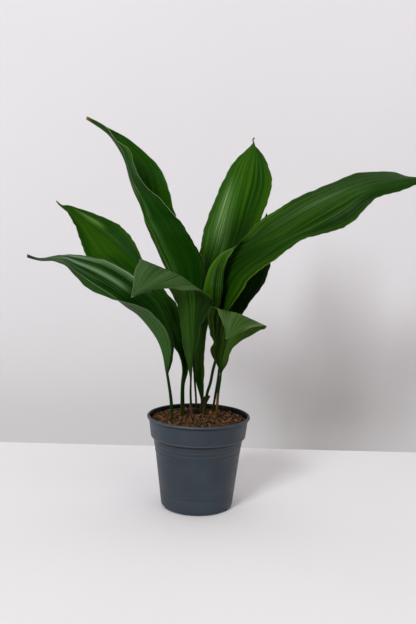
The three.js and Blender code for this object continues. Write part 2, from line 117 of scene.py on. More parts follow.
# Leaves, as in the solids. Each row crosses the blade from margin to midrib to margin, and the first margin
# is on the left as seen from above. A row's fourth entry is how far each half bows up at its middle. Where
# a leaf has an end, it holds the slender rows past the last one.
LEAVES = {
    # Tall leaf behind the middle, its upper face to the front
    "leaf_back_tall": {
        "foot": [3, 45],
        "radius": [2, 1.7],
        "stalk": [[4, 47, 135]],
        "rows": [
            [[-4, 42, 158], [2, 48, 155], [6, 42, 158]],
            [[-10, 43, 179], [-1, 50, 177], [6, 42, 180]],
            [[-10, 48, 207], [-1, 55, 206], [6, 47, 209]],
            [[-9, 50, 242], [1, 62, 240], [11, 54, 246]],
            [[-7, 50, 278], [7, 66, 275], [26, 58, 282]],
            [[-6, 60, 316], [16, 68, 312], [48, 70, 323]],
            [[-4, 73, 347], [29, 74, 341], [63, 83, 353]],
            [[1, 85, 378], [39, 81, 378], [77, 94, 380]],
            [[13, 96, 413], [47, 91, 415], [90, 106, 413]],
            [[24, 105, 441], [54, 101, 444], [98, 115, 444]],
            [[39, 113, 471], [61, 111, 472], [93, 121, 469]],
            [[57, 120, 491], [67, 120, 493], [80, 124, 492]],
            [[66, 125, 500], [69, 126, 501], [73, 126, 499]],
            [[69, 128, 505], [70, 129, 505], [71, 129, 505]],
        ],
        "end": [
            [[68, 130, 508], [69, 130, 508], [70, 130, 508]],
            [[70, 131, 512], [71, 131, 512], [72, 131, 511]],
        ],
    },
    # Tall leaf that leans to the left: folded along its midrib above, open below, underside to the front
    "leaf_left_tall": {
        "foot": [-4, 50],
        "radius": [1.3, 1.2],
        "stalk": [[-5, 45, 143], [-7, 36, 166], [-9, 34, 195], [-12, 33, 223], [-14, 32, 248]],
        "rows": [
            [[-6, 28, 276], [-18, 30, 271], [-25, 30, 269]],
            [[0, 20, 297], [-31, 27, 291], [-35, 28, 289]],
            [[3, 10, 317], [-40, 21, 311], [-45, 32, 309]],
            [[0, 2, 339], [-49, 14, 331], [-55, 37, 332], [0, -2]],
            [[-11, -6, 357], [-58, 6, 351], [-64, 38, 353], [0, -2]],
            [[-19, -13, 371], [-66, -2, 370], [-71, 35, 371], [0, -3]],
            [[-30, -18, 387], [-76, -8, 388], [-65, 34, 377], [0, -5]],
            [[-42, -26, 399], [-82, -16, 406], [-38, 23, 389], [0, -10]],
            [[-56, -34, 415], [-90, -22, 423], [-42, 12, 409], [0, -8]],
            [[-75, -40, 431], [-96, -27, 440], [-46, -1, 427], [0, -5]],
            [[-88, -47, 454], [-101, -35, 460], [-56, -11, 452]],
            [[-93, -52, 473], [-109, -43, 476], [-73, -20, 470]],
            [[-108, -58, 483], [-119, -53, 490], [-99, -36, 490]],
        ],
        "end": [
            [[-122, -61, 500], [-126, -59, 496], [-121, -56, 500]],
            [[-134, -62, 507], [-137, -60, 503], [-134, -58, 507]],
            [[-146, -61, 512], [-147, -60, 509], [-145, -59, 512]],
        ],
    },
    # Leaf behind the left front one, its upper face to the front
    "leaf_left_back": {
        "foot": [-22, 18],
        "radius": [2.6, 2.3],
        "stalk": [[-23, 20, 141], [-23, 20, 162]],
        "rows": [
            [[-24, 18, 182], [-21, 22, 180], [-16, 20, 182]],
            [[-28, 19, 201], [-22, 26, 199], [-16, 25, 205]],
            [[-39, 20, 219], [-27, 28, 221], [-20, 28, 228]],
            [[-51, 24, 243], [-35, 33, 246], [-27, 31, 255]],
            [[-71, 29, 264], [-47, 39, 271], [-35, 35, 273]],
            [[-95, 32, 288], [-63, 44, 292], [-50, 40, 289]],
            [[-125, 36, 309], [-81, 51, 316], [-69, 47, 313]],
            [[-146, 42, 325], [-101, 58, 334], [-84, 55, 333]],
            [[-162, 48, 335], [-117, 64, 346], [-97, 62, 356]],
            [[-169, 55, 349], [-132, 71, 358], [-108, 69, 370]],
            [[-176, 63, 365], [-148, 78, 369], [-123, 76, 381]],
            [[-184, 73, 380], [-163, 86, 381], [-141, 84, 389]],
            [[-196, 88, 395], [-189, 95, 399], [-181, 93, 402]],
            [[-207, 100, 403], [-203, 102, 404], [-198, 102, 406]],
        ],
        "end": [
            [[-210, 103, 405], [-208, 104, 405], [-206, 104, 406]],
            [[-216, 107, 411], [-216, 108, 412], [-215, 108, 412]],
        ],
    },
    # Leaf that arches out to the left and to the front, its near half curled up low down
    "leaf_left_front": {
        "foot": [-36, -9],
        "radius": [2.1, 1.5],
        "stalk": [[-37, -10, 143], [-39, -10, 158], [-41, -10, 170], [-43, -10, 181]],
        "rows": [
            [[-41, -16, 192], [-45, -10, 191], [-39, -3, 191]],
            [[-38, -31, 217], [-49, -12, 211], [-36, 7, 210]],
            [[-40, -39, 236], [-56, -14, 229], [-37, 13, 232]],
            [[-48, -45, 253], [-68, -18, 247], [-44, 13, 256]],
            [[-61, -51, 268], [-83, -23, 264], [-52, 11, 275]],
            [[-76, -58, 278], [-97, -29, 274], [-64, 7, 290]],
            [[-91, -64, 283], [-109, -35, 284], [-79, 2, 304]],
            [[-110, -68, 287], [-123, -40, 294], [-97, -4, 318]],
            [[-128, -74, 294], [-136, -48, 303], [-120, -11, 331]],
            [[-143, -78, 303], [-149, -55, 313], [-140, -21, 337]],
            [[-155, -82, 315], [-160, -63, 322], [-158, -33, 340]],
            [[-166, -85, 328], [-170, -70, 332], [-172, -47, 341]],
            [[-183, -87, 334], [-185, -78, 337], [-187, -62, 339]],
            [[-197, -90, 334], [-198, -85, 335], [-200, -76, 337]],
            [[-205, -94, 336], [-206, -91, 338], [-206, -87, 339]],
        ],
        "end": [
            [[-212, -96, 338], [-212, -95, 340], [-212, -94, 342]],
        ],
    },
    # Front leaf, its upper third folded down over a slanting crease to the left
    "leaf_front_folded": {
        "foot": [-9, 19],
        "radius": [1.5, 1.3],
        "stalk": [[-11, 21, 135], [-12, 19, 153], [-12, 16, 173]],
        "rows": [
            [[-10, 13, 189], [-12, 13, 187], [-16, 13, 187]],
            [[-8, 10, 207], [-12, 8, 206], [-21, 12, 207]],
            [[-2, 5, 228], [-13, 2, 228], [-25, 9, 226]],
            [[0, 0, 246], [-14, -5, 249], [-27, 5, 245]],
            [[9, -8, 265], [-15, -14, 271], [-30, -1, 266]],
            [[16, -18, 279], [-17, -24, 290], [-36, -10, 285]],
            [[16, -28, 285], [-20, -38, 306], [-50, -34, 309]],
            [[13, -38, 289], [-27, -52, 318], [-76, -62, 338]],
            [[2, -46, 298], [-36, -63, 315], [-79, -70, 334]],
            [[-22, -54, 299], [-47, -70, 311], [-83, -75, 322]],
            [[-44, -62, 302], [-60, -75, 306], [-84, -79, 311]],
            [[-64, -70, 299], [-74, -79, 299], [-85, -81, 300]],
        ],
        "tip": [-86, -82, 291],
    },
    # Small front right leaf, folded down over a crease of its own
    "leaf_right_folded": {
        "foot": [25, 2],
        "radius": [1.7, 1.4],
        "stalk": [[25, 1, 139], [26, -1, 158], [28, -3, 175], [29, -4, 186]],
        "rows": [
            [[37, -7, 198], [29, -8, 198], [23, -6, 196]],
            [[40, -10, 212], [31, -14, 212], [14, -9, 214]],
            [[46, -14, 224], [33, -20, 225], [17, -13, 228]],
            [[66, -20, 238], [36, -26, 240], [13, -18, 238]],
            [[78, -27, 247], [39, -33, 253], [11, -24, 251]],
            [[85, -33, 251], [43, -40, 264], [8, -30, 265]],
            [[86, -38, 254], [48, -46, 271], [12, -38, 276]],
            [[82, -43, 255], [46, -53, 268], [20, -48, 277]],
            [[69, -49, 254], [43, -58, 262], [24, -54, 268]],
            [[56, -55, 249], [40, -61, 255], [29, -58, 258]],
            [[44, -60, 244], [37, -63, 247], [32, -61, 250]],
        ],
        "tip": [33, -64, 240],
    },
    # Long leaf that arches out to the right, its upper face tilted to the front
    "leaf_right_long": {
        "foot": [7, 30],
        "radius": [1.8, 1.7],
        "stalk": [[9, 28, 134], [11, 26, 150], [15, 23, 165], [18, 20, 183], [22, 16, 202], [24, 11, 226]],
        "rows": [
            [[20, -3, 256], [22, 12, 250], [31, 2, 253], [-7, 0]],
            [[26, -14, 281], [19, 12, 272], [36, -10, 270], [-18, 0]],
            [[28, -19, 301], [17, 8, 294], [49, -21, 291], [-21, 0]],
            [[29, -21, 322], [22, 3, 314], [61, -27, 312], [-17, 0]],
            [[34, -23, 340], [35, -5, 331], [74, -34, 326], [-14, 0]],
            [[45, -19, 357], [54, -13, 347], [89, -41, 337], [-8, 0]],
            [[59, -10, 373], [76, -21, 361], [109, -47, 354], [-4, 0]],
            [[76, -1, 391], [101, -29, 373], [128, -53, 368]],
            [[96, -1, 404], [124, -35, 389], [147, -58, 374]],
            [[118, -3, 419], [148, -42, 404], [169, -64, 381], [0, 5]],
            [[143, -7, 431], [172, -49, 419], [186, -69, 391], [0, 6]],
            [[170, -13, 443], [193, -55, 430], [202, -73, 410], [0, 4]],
            [[194, -21, 453], [212, -61, 437], [217, -75, 423]],
            [[217, -32, 456], [229, -67, 441], [232, -79, 427]],
            [[236, -44, 455], [243, -72, 444], [246, -81, 432]],
            [[253, -61, 449], [258, -77, 446], [259, -83, 438]],
        ],
        "tip": [276, -83, 446],
    },
    # Leaf in the shade of the long one
    "leaf_right_back": {
        "foot": [20, 47],
        "radius": [1.5, 1.4],
        "stalk": [[22, 49, 138], [24, 49, 153], [26, 48, 168], [27, 47, 181], [28, 46, 192]],
        "rows": [
            [[24, 42, 213], [30, 46, 211], [39, 43, 214]],
            [[24, 39, 237], [35, 45, 234], [46, 41, 236]],
            [[26, 36, 262], [40, 44, 257], [56, 39, 258]],
            [[30, 36, 283], [47, 45, 278], [68, 40, 278]],
            [[37, 36, 305], [56, 46, 301], [84, 42, 300]],
            [[48, 40, 327], [66, 50, 324], [93, 47, 322]],
            [[58, 46, 349], [74, 55, 347], [95, 53, 344]],
            [[69, 53, 369], [81, 61, 368], [95, 60, 367]],
            [[81, 63, 387], [86, 67, 387], [93, 67, 386]],
        ],
        "tip": [89, 74, 401],
    },
}


def linear(red, green, blue):
    """A display colour of 0 to 255 as the linear colour that shaders take."""
    shares = (red / 255, green / 255, blue / 255)
    return tuple(s / 12.92 if s <= 0.04045 else ((s + 0.055) / 1.055) ** 2.4 for s in shares) + (1.0,)


# Finish of each leaf, in display colours. Each face has its dark and light streaks and how glossy it is.
# Then come the midrib, the margin's line and the tip, how strong the veins, the streaks and that line are,
# how high the pleats and the margin's ripples are in mm, and how rough the upper face is.
LEAF_LOOKS = {
    "leaf_back_tall": {
        "upper": {"deep": (14, 54, 0), "light": (54, 100, 6), "gloss": 0.07},
        "under": {"deep": (30, 64, 8), "light": (50, 88, 18), "gloss": 0.1},
        "midrib": (26, 66, 2), "margin": (60, 100, 20), "tip": (50, 78, 14),
        "veins": 0.3, "streaks": 0.9, "line": 0.25, "pleats": 0.14, "roughness": 0.36, "ripple": 0.6,
    },
    "leaf_left_tall": {
        "upper": {"deep": (22, 64, 2), "light": (48, 98, 8), "gloss": 0.08},
        "under": {"deep": (10, 46, 0), "light": (30, 76, 4), "gloss": 0.07},
        "midrib": (60, 104, 12), "margin": (172, 186, 152), "tip": (104, 92, 24),
        "veins": 0.12, "streaks": 0.6, "line": 0.95, "pleats": 0.06, "roughness": 0.34, "ripple": 0.5,
    },
    "leaf_left_back": {
        "upper": {"deep": (14, 52, 0), "light": (52, 96, 3), "gloss": 0.03},
        "under": {"deep": (24, 58, 6), "light": (46, 84, 16), "gloss": 0.1},
        "midrib": (16, 48, 1), "margin": (64, 106, 20), "tip": (60, 90, 20),
        "veins": 0.25, "streaks": 0.4, "line": 0.3, "pleats": 0.07, "roughness": 0.36, "ripple": 0.6,
    },
    "leaf_left_front": {
        "upper": {"deep": (4, 36, 0), "light": (44, 90, 26), "gloss": 0.05},
        "under": {"deep": (22, 58, 3), "light": (40, 80, 12), "gloss": 0.07},
        "midrib": (118, 148, 106), "margin": (84, 112, 56), "tip": (92, 78, 40),
        "veins": 0.45, "streaks": 0.9, "line": 0.35, "pleats": 0.16, "roughness": 0.32, "ripple": 0.6,
    },
    "leaf_front_folded": {
        "upper": {"deep": (38, 68, 22), "light": (84, 116, 64), "gloss": 0.14},
        "under": {"deep": (40, 78, 12), "light": (64, 106, 28), "gloss": 0.07},
        "midrib": (20, 46, 6), "margin": (128, 140, 96), "tip": (140, 130, 60),
        "veins": 0.6, "streaks": 0.35, "line": 0.5, "pleats": 0.1, "roughness": 0.46, "ripple": 0.6,
    },
    "leaf_right_folded": {
        "upper": {"deep": (34, 64, 12), "light": (68, 100, 36), "gloss": 0.18},
        "under": {"deep": (36, 64, 10), "light": (66, 96, 32), "gloss": 0.03},
        "midrib": (12, 32, 2), "margin": (120, 132, 84), "tip": (130, 130, 50),
        "veins": 0.6, "streaks": 0.7, "line": 0.45, "pleats": 0.08, "roughness": 0.46, "ripple": 0.7,
    },
    "leaf_right_long": {
        "upper": {"deep": (8, 38, 0), "light": (44, 82, 8), "gloss": 0.045},
        "under": {"deep": (24, 62, 0), "light": (56, 98, 10), "gloss": 0.05},
        "midrib": (24, 60, 6), "margin": (104, 128, 84), "tip": (40, 66, 18),
        "veins": 0.35, "streaks": 0.9, "line": 0.5, "pleats": 0.2, "roughness": 0.38, "ripple": 0.7,
    },
    # Leaf in the shade of the long one: both faces' colours are darkened as painted shade
    "leaf_right_back": {
        "upper": {"deep": (6, 26, 1), "light": (22, 52, 8), "gloss": 0.05},
        "under": {"deep": (16, 38, 6), "light": (28, 56, 14), "gloss": 0.05},
        "midrib": (14, 40, 6), "margin": (46, 80, 30), "tip": (30, 50, 16),
        "veins": 0.2, "streaks": 0.6, "line": 0.3, "pleats": 0.1, "roughness": 0.42, "ripple": 0.5,
    },
}

# Long soft marks on the blades: painted sheens and highlights, painted shade and shadow where other leaves,
# curls and folds shade a blade, and lines of the leaves' own colour. Each has its face, the two places it
# runs between, its half width across, its colour and how strongly it shows. A place is across, -1 at the
# first margin and 1 at the last, and along, 0 at the stalk and 1 at the tip.
SHEENS_SHADES_AND_LINES = {
    # Tall back leaf: a painted sheen and a painted highlight by the midrib, painted shadow right of the
    # midrib and low on the left, painted light low down, and darker at the upper right
    "leaf_back_tall": [
        ("upper", (-0.42, 0.52), (-0.56, 0.66), 0.28, (136, 174, 104), 0.62),
        ("upper", (-0.02, 0.38), (-0.24, 0.54), 0.12, (96, 132, 66), 0.45),
        ("upper", (0.42, 0.2), (0.42, 0.56), 0.55, (10, 36, 0), 0.8),
        ("upper", (-0.6, 0.28), (-0.6, 0.44), 0.5, (12, 42, 0), 0.6),
        ("upper", (0.0, 0.12), (0.0, 0.3), 0.9, (80, 112, 46), 0.55),
        ("upper", (0.75, 0.5), (0.8, 0.66), 0.3, (34, 60, 12), 0.3),
    ],
    # Tall left leaf, underside: a painted highlight band by the midrib, the midrib's yellow-green and pale
    # lines, a bright yellow-green patch and a painted highlight by the first margin, and painted shade along
    # the edge that turns away; lighter green on the upper face
    "leaf_left_tall": [
        ("under", (-0.15, 0.2), (-0.14, 0.5), 0.13, (76, 114, 54), 0.55),
        ("under", (-0.17, 0.5), (-0.3, 0.66), 0.12, (70, 108, 48), 0.5),
        ("under", (-0.02, 0.22), (-0.02, 0.54), 0.04, (84, 126, 20), 0.6),
        ("under", (-0.12, 0.62), (-0.14, 0.98), 0.05, (150, 164, 138), 0.6),
        ("under", (-0.26, 0.66), (-0.4, 0.97), 0.05, (150, 164, 138), 0.55),
        ("under", (-0.9, 0.83), (-0.75, 0.92), 0.3, (70, 118, 14), 0.85),
        ("under", (-0.88, 0.75), (-0.85, 0.79), 0.18, (104, 130, 88), 0.6),
        ("under", (-1.0, 0.1), (-1.0, 0.5), 0.07, (3, 12, 0), 0.95),
        ("upper", (0.8, 0.5), (0.8, 0.7), 0.5, (50, 102, 4), 0.5),
    ],
    # Leaf behind the left front one: a painted sheen, painted shade on the right half and over the lower
    # blade, painted light on the left half and along the midrib, and a pale olive strip by the last margin
    "leaf_left_back": [
        ("upper", (0.32, 0.76), (0.28, 0.86), 0.3, (112, 150, 66), 0.5),
        ("upper", (0.6, 0.36), (0.6, 0.6), 0.5, (14, 50, 0), 0.2),
        ("upper", (-0.45, 0.56), (-0.45, 0.82), 0.5, (56, 100, 6), 0.3),
        ("upper", (0.2, 0.02), (0.2, 0.36), 1.5, (6, 26, 0), 0.85),
        ("upper", (-0.2, 0.2), (-0.18, 0.38), 0.2, (50, 100, 10), 0.9),
        ("upper", (0.95, 0.1), (0.95, 0.34), 0.14, (70, 100, 50), 0.6),
    ],
    # Leaf that arches out to the left: painted sheens in streaks on the far half, painted shade over the
    # lower blade, lighter green on the near half, its pale midrib line, a lighter strip under the near
    # margin, and darker towards the tip
    "leaf_left_front": [
        ("upper", (0.46, 0.46), (0.5, 0.78), 0.17, (128, 164, 118), 0.75),
        ("upper", (0.9, 0.4), (0.88, 0.76), 0.14, (140, 172, 128), 0.8),
        ("upper", (0.2, 0.56), (0.2, 0.8), 0.08, (96, 130, 80), 0.6),
        ("upper", (0.35, 0.1), (0.35, 0.42), 0.8, (8, 34, 0), 0.75),
        ("upper", (-0.6, 0.4), (-0.6, 0.84), 0.45, (48, 100, 14), 0.6),
        ("upper", (-0.07, 0.4), (-0.07, 0.84), 0.03, (122, 150, 110), 0.7),
        ("under", (-0.9, 0.2), (-0.9, 0.5), 0.3, (70, 104, 40), 0.4),
        ("upper", (0.0, 0.82), (0.0, 1.1), 1.6, (26, 54, 10), 0.75),
    ],
    # Front folded leaf: painted highlights on the flap, painted shade on the front face below the flap, a
    # lighter band by the last margin, and painted shade in the midrib's groove
    "leaf_front_folded": [
        ("upper", (-0.75, 0.6), (-0.8, 0.84), 0.26, (100, 126, 84), 0.4),
        ("upper", (0.75, 0.66), (0.8, 0.9), 0.25, (88, 116, 70), 0.25),
        ("under", (-0.6, 0.02), (-0.6, 0.56), 0.62, (14, 36, 4), 0.92),
        ("under", (0.5, 0.12), (0.5, 0.55), 0.5, (56, 78, 34), 0.5),
        ("under", (0.02, 0.0), (0.02, 0.6), 0.06, (16, 34, 6), 0.85),
    ],
    # Small right folded leaf: near-black painted shade on the front face, a painted highlight on the flap's
    # edge and a painted sheen on the flap
    "leaf_right_folded": [
        ("under", (0.55, 0.0), (0.55, 0.62), 0.66, (2, 12, 0), 1.0),
        ("upper", (-0.9, 0.56), (-0.9, 0.8), 0.3, (112, 132, 84), 0.6),
        ("upper", (0.1, 0.5), (0.1, 0.7), 0.14, (96, 128, 62), 0.4),
    ],
    # Long right leaf: painted light and painted shade on the curled first margin, the curl's painted shadow
    # on the blade, painted sheens and a painted highlight on a ridge, painted shade on the turned-down last
    # margin and towards the tip, and a yellow line along the last margin
    "leaf_right_long": [
        ("under", (-0.9, 0.03), (-0.98, 0.28), 0.28, (6, 26, 0), 0.9),
        ("under", (-0.42, 0.05), (-0.52, 0.16), 0.16, (84, 122, 28), 0.65),
        ("under", (-0.6, 0.22), (-0.74, 0.4), 0.16, (84, 122, 30), 0.6),
        ("upper", (0.0, 0.0), (0.05, 0.4), 1.1, (8, 34, 0), 0.7),
        ("upper", (-0.94, 0.28), (-0.98, 0.54), 0.16, (64, 106, 14), 0.85),
        ("upper", (-0.78, 0.28), (-0.84, 0.5), 0.07, (6, 26, 0), 0.7),
        ("upper", (-0.5, 0.46), (-0.35, 0.66), 0.3, (80, 112, 58), 0.28),
        ("upper", (0.52, 0.48), (0.5, 0.7), 0.05, (84, 116, 58), 0.4),
        ("upper", (0.82, 0.5), (0.8, 0.78), 0.32, (8, 32, 0), 0.85),
        ("upper", (0.99, 0.03), (0.99, 0.38), 0.07, (80, 112, 24), 0.7),
        ("upper", (0.0, 0.74), (0.0, 1.1), 1.4, (16, 44, 4), 0.5),
        ("upper", (-0.42, 0.56), (-0.3, 0.68), 0.16, (100, 130, 84), 0.28),
    ],
    "leaf_right_back": [
        ("upper", (0.9, 0.2), (0.9, 0.7), 0.1, (40, 76, 16), 0.5),
    ],
}


# Short calls that build shader and geometry nodes
def add_node(tree, kind, inputs=None, **settings):
    node = tree.nodes.new(kind)
    for key, value in settings.items():
        setattr(node, key, value)
    for key, value in (inputs or {}).items():
        if isinstance(value, bpy.types.NodeSocket):
            tree.links.new(value, node.inputs[key])
        else:
            node.inputs[key].default_value = value
    return node


def attribute(tree, name):
    return add_node(tree, "ShaderNodeAttribute", attribute_name=name).outputs["Fac"]


def maths(tree, operation, *values):
    inputs = dict(enumerate(values))
    return add_node(tree, "ShaderNodeMath", inputs, operation=operation).outputs[0]


def times(tree, first, second):
    return maths(tree, "MULTIPLY", first, second)


def plus(tree, first, second):
    return maths(tree, "ADD", first, second)


def minus(tree, first, second):
    return maths(tree, "SUBTRACT", first, second)


def vector_maths(tree, operation, *values):
    return add_node(tree, "ShaderNodeVectorMath", dict(enumerate(values)), operation=operation)


def mixed(tree, share, first, second):
    inputs = {0: share, 6: first, 7: second}
    return add_node(tree, "ShaderNodeMix", inputs, data_type="RGBA").outputs[2]


def mixed_value(tree, share, first, second):
    inputs = {0: share, 2: first, 3: second}
    return add_node(tree, "ShaderNodeMix", inputs, data_type="FLOAT").outputs[0]


def ranged(tree, value, low, high, to_low=0.0, to_high=1.0, smooth=True):
    inputs = {"Value": value, "From Min": low, "From Max": high, "To Min": to_low, "To Max": to_high}
    kind = "SMOOTHSTEP" if smooth else "LINEAR"
    return add_node(tree, "ShaderNodeMapRange", inputs, interpolation_type=kind).outputs["Result"]


def noise(tree, vector, scale=1.0, detail=2.0, roughness=0.5):
    inputs = {"Vector": vector, "Scale": scale, "Detail": detail, "Roughness": roughness}
    return add_node(tree, "ShaderNodeTexNoise", inputs).outputs["Fac"]


def object_place(tree):
    return add_node(tree, "ShaderNodeTexCoord").outputs["Object"]


def object_height(tree):
    return add_node(tree, "ShaderNodeSeparateXYZ", {0: object_place(tree)}).outputs["Z"]


def stretched(tree, vector, scale):
    return add_node(tree, "ShaderNodeMapping", {"Vector": vector, "Scale": scale}).outputs[0]


def bumped(tree, height, distance, strength):
    inputs = {"Height": height, "Distance": distance, "Strength": strength}
    return add_node(tree, "ShaderNodeBump", inputs).outputs["Normal"]


def new_finish(name):
    """A new material, its node tree and its shader."""
    material = bpy.data.materials.new(name)
    material.use_nodes = True
    tree = material.node_tree
    return material, tree, tree.nodes["Principled BSDF"]


def wire(tree, shader, **sockets):
    """Links or sets the shader's sockets; an underscore stands for a space in a socket's name."""
    for key, value in sockets.items():
        socket = shader.inputs[key.replace("_", " ")]
        if isinstance(value, bpy.types.NodeSocket):
            tree.links.new(value, socket)
        else:
            socket.default_value = value


# Leaf finish: streaks and veins that run along the blade, by the mesh's own across and along values
VEINS_A_HALF = 11.0
VEIN_WANDER = 0.35
MARGIN_WIDTH = 0.7
MARK_FADE = 0.05
MARK_RAGGEDNESS = 3.6
WIDE_MARK = 0.35
UNDER_DULLNESS = 0.08
STALK_COLOUR = (22, 52, 8)
FOOT_COLOUR = (56, 66, 22)
FOOT_COLOUR_TOP, FOOT_COLOUR_FULL = 142, 122


def mark_share(tree, line, across, along, strands):
    """How much of a mark shows: it breaks into streaks, fades at its ends and is more even if wide."""
    (start, low), (end, high), half_width = line
    middle = ranged(tree, along, low, high, start, end, smooth=False)
    distance = maths(tree, "ABSOLUTE", minus(tree, across, middle))
    away = maths(tree, "DIVIDE", distance, half_width)
    ragged = plus(tree, away, times(tree, minus(tree, strands, 0.5), MARK_RAGGEDNESS))
    share = ranged(tree, ragged, 1.0, 0.45)
    share = times(tree, share, ranged(tree, along, low - MARK_FADE, low + MARK_FADE))
    share = times(tree, share, ranged(tree, along, high + MARK_FADE, high - MARK_FADE))
    weakest = 0.2 if half_width < WIDE_MARK else 0.75
    return times(tree, share, ranged(tree, strands, 0.44, 0.54, weakest, 1.0))


def leaf_finish(name, look, face, marks):
    material, tree, shader = new_finish(name)
    across = attribute(tree, "across")
    along = attribute(tree, "along")
    margin = attribute(tree, "margin")
    blade = attribute(tree, "blade")
    gloss = look[face]["gloss"]
    noise_depth = 4.0 if face == "upper" else 0.0

    def streaks(wide, long, detail):
        place = {0: times(tree, across, wide), 1: times(tree, along, long), 2: noise_depth}
        vector = add_node(tree, "ShaderNodeCombineXYZ", place).outputs[0]
        return noise(tree, vector, 1.0, detail, 0.55)

    fine = streaks(40.0, 2.6, 2.0)
    middling = streaks(15.0, 1.8, 1.0)
    bands = streaks(8.0, 1.3, 2.0)
    broad = streaks(3.6, 2.0, 1.0)
    patches = noise(tree, object_place(tree), 28.0, 2.0)

    # Narrow veins at even steps across each half
    wander = times(tree, minus(tree, middling, 0.5), VEIN_WANDER)
    phase = plus(tree, times(tree, across, VEINS_A_HALF), wander)
    veins = ranged(tree, maths(tree, "COSINE", times(tree, phase, math.tau)), 0.72, 1.0)
    rib = ranged(tree, maths(tree, "ABSOLUTE", across), 0.04, 0.008)

    # Streaks of four widths, each with its range and its weight
    lines = (
        (middling, 0.34, 0.66, 0.7 * look["streaks"]),
        (fine, 0.4, 0.7, 0.6 * look["streaks"]),
        (bands, 0.38, 0.62, 0.7 * look["streaks"]),
        (broad, 0.35, 0.7, 0.4),
    )
    tone = 0.0
    for streak, low, high, weight in lines:
        tone = plus(tree, tone, times(tree, ranged(tree, streak, low, high), weight))
    tone = plus(tree, tone, times(tree, minus(tree, patches, 0.5), 0.5))
    tone = plus(tree, tone, times(tree, veins, -look["veins"]))
    tone = ranged(tree, tone, 0.15, 1.85, smooth=False)
    colour = mixed(tree, tone, linear(*look[face]["deep"]), linear(*look[face]["light"]))
    colour = mixed(tree, times(tree, rib, 0.75), colour, linear(*look["midrib"]))
    edge = times(tree, ranged(tree, margin, MARGIN_WIDTH, 0.1), look["line"])
    colour = mixed(tree, edge, colour, linear(*look["margin"]))
    strands = mixed_value(tree, 0.3, streaks(24.0, 1.1, 0.0), bands)
    # Painted sheens, highlights and shade, and the leaves' own lines, laid over the colour
    for mark_face, start, end, half_width, tone_there, strength in marks:
        if mark_face == face:
            share = mark_share(tree, (start, end, half_width), across, along, strands)
            colour = mixed(tree, times(tree, share, strength), colour, linear(*tone_there))

    stalk_lines = mixed(tree, fine, linear(*(0.6 * c for c in STALK_COLOUR)), linear(*STALK_COLOUR))
    near_soil = ranged(tree, object_height(tree), FOOT_COLOUR_TOP * MM, FOOT_COLOUR_FULL * MM)
    stalk_colour = mixed(tree, times(tree, near_soil, 0.6), stalk_lines, linear(*FOOT_COLOUR))
    colour = mixed(tree, blade, stalk_colour, colour)
    tip = ranged(tree, along, 0.982, 0.998)
    colour = mixed(tree, tip, colour, linear(*look["tip"]))

    grain = noise(tree, object_place(tree), 900.0, 1.0)
    relief = times(tree, fine, 0.7)
    for height, weight in ((veins, -0.35), (middling, 0.8), (grain, 0.1)):
        relief = plus(tree, relief, times(tree, height, weight))
    normal = bumped(tree, relief, 0.0005, 0.7)
    dull = look["roughness"] + (0.0 if face == "upper" else UNDER_DULLNESS)
    rough = ranged(tree, fine, 0.3, 0.8, dull - 0.04, dull + 0.08)
    wire(tree, shader, Base_Color=colour, Roughness=rough, Normal=normal, Specular_IOR_Level=gloss)
    return material


# Plain meshes
SHARP_FROM = math.radians(40)


def linked(piece):
    bpy.context.collection.objects.link(piece)
    return piece


def loose_object(name, vertices, faces):
    mesh = bpy.data.meshes.new(name)
    mesh.from_pydata(np.asarray(vertices, float) * MM, [], faces)
    mesh.validate()
    mesh.shade_smooth()
    return bpy.data.objects.new(name, mesh)


def mesh_object(name, vertices, faces):
    return linked(loose_object(name, vertices, faces))


def object_of(name, mesh):
    """Makes an object of a mesh under construction, which it uses up."""
    data = bpy.data.meshes.new(name)
    mesh.to_mesh(data)
    mesh.free()
    return bpy.data.objects.new(name, data)


def ring_angles(count):
    return np.arange(count) * math.tau / count


def turned_over(faces):
    """The same faces seen from their other side; each keeps its first vertex."""
    return [face[:1] + face[:0:-1] for face in faces]


def ring_faces(rings, segments):
    """Faces of a closed shape: end points 0 and 1, and between them rings of vertices."""
    index = 2 + np.arange(rings * segments).reshape(rings, segments)
    following = np.roll(index, -1, axis=1)
    faces = [[0, b, a] for a, b in zip(index[0], following[0])]
    faces += [[1, a, b] for a, b in zip(index[-1], following[-1])]
    for low, low_next, high, high_next in zip(index, following, index[1:], following[1:]):
        faces += np.stack([low, low_next, high_next, high], -1).tolist()
    return faces


def tube_faces(steps, sides):
    """Faces along a tube without its ends, from rings of vertices that follow each other."""
    starts = range(0, sides * steps, sides)
    pairs = [(start + k, start + (k + 1) % sides) for start in starts for k in range(sides)]
    return [[a, b, b + sides, a + sides] for a, b in pairs]


def smooth_rail(points, t):
    """Places at t, 0 to 1, on a centripetal Catmull-Rom curve through the points."""
    points = np.asarray(points, float)
    last = len(points) - 1
    padded = np.vstack([2 * points[0] - points[1], points, 2 * points[-1] - points[-2]])
    place = np.clip(t * last, 0, last)
    index = np.minimum(place.astype(int), last - 1)
    weight = (place - index)[:, None]
    p0, p1, p2, p3 = (padded[index + k] for k in range(4))
    spans = ((p0, p1), (p1, p2), (p2, p3))
    d0, d1, d2 = (np.sqrt(np.linalg.norm(b - a, axis=1))[:, None] for a, b in spans)
    leave = ((p1 - p0) / d0 - (p2 - p0) / (d0 + d1) + (p2 - p1) / d1) * d1
    arrive = ((p2 - p1) / d1 - (p3 - p1) / (d1 + d2) + (p3 - p2) / d2) * d1
    square = 3 * (p2 - p1) - 2 * leave - arrive
    cube = 2 * (p1 - p2) + leave + arrive
    return p1 + weight * (leave + weight * (square + weight * cube))


def unit(vectors):
    return vectors / np.maximum(np.linalg.norm(vectors, axis=-1, keepdims=True), 1e-9)


def smoothstep(value, low, high):
    share = np.clip((value - low) / (high - low), 0, 1)
    return share * share * (3 - 2 * share)


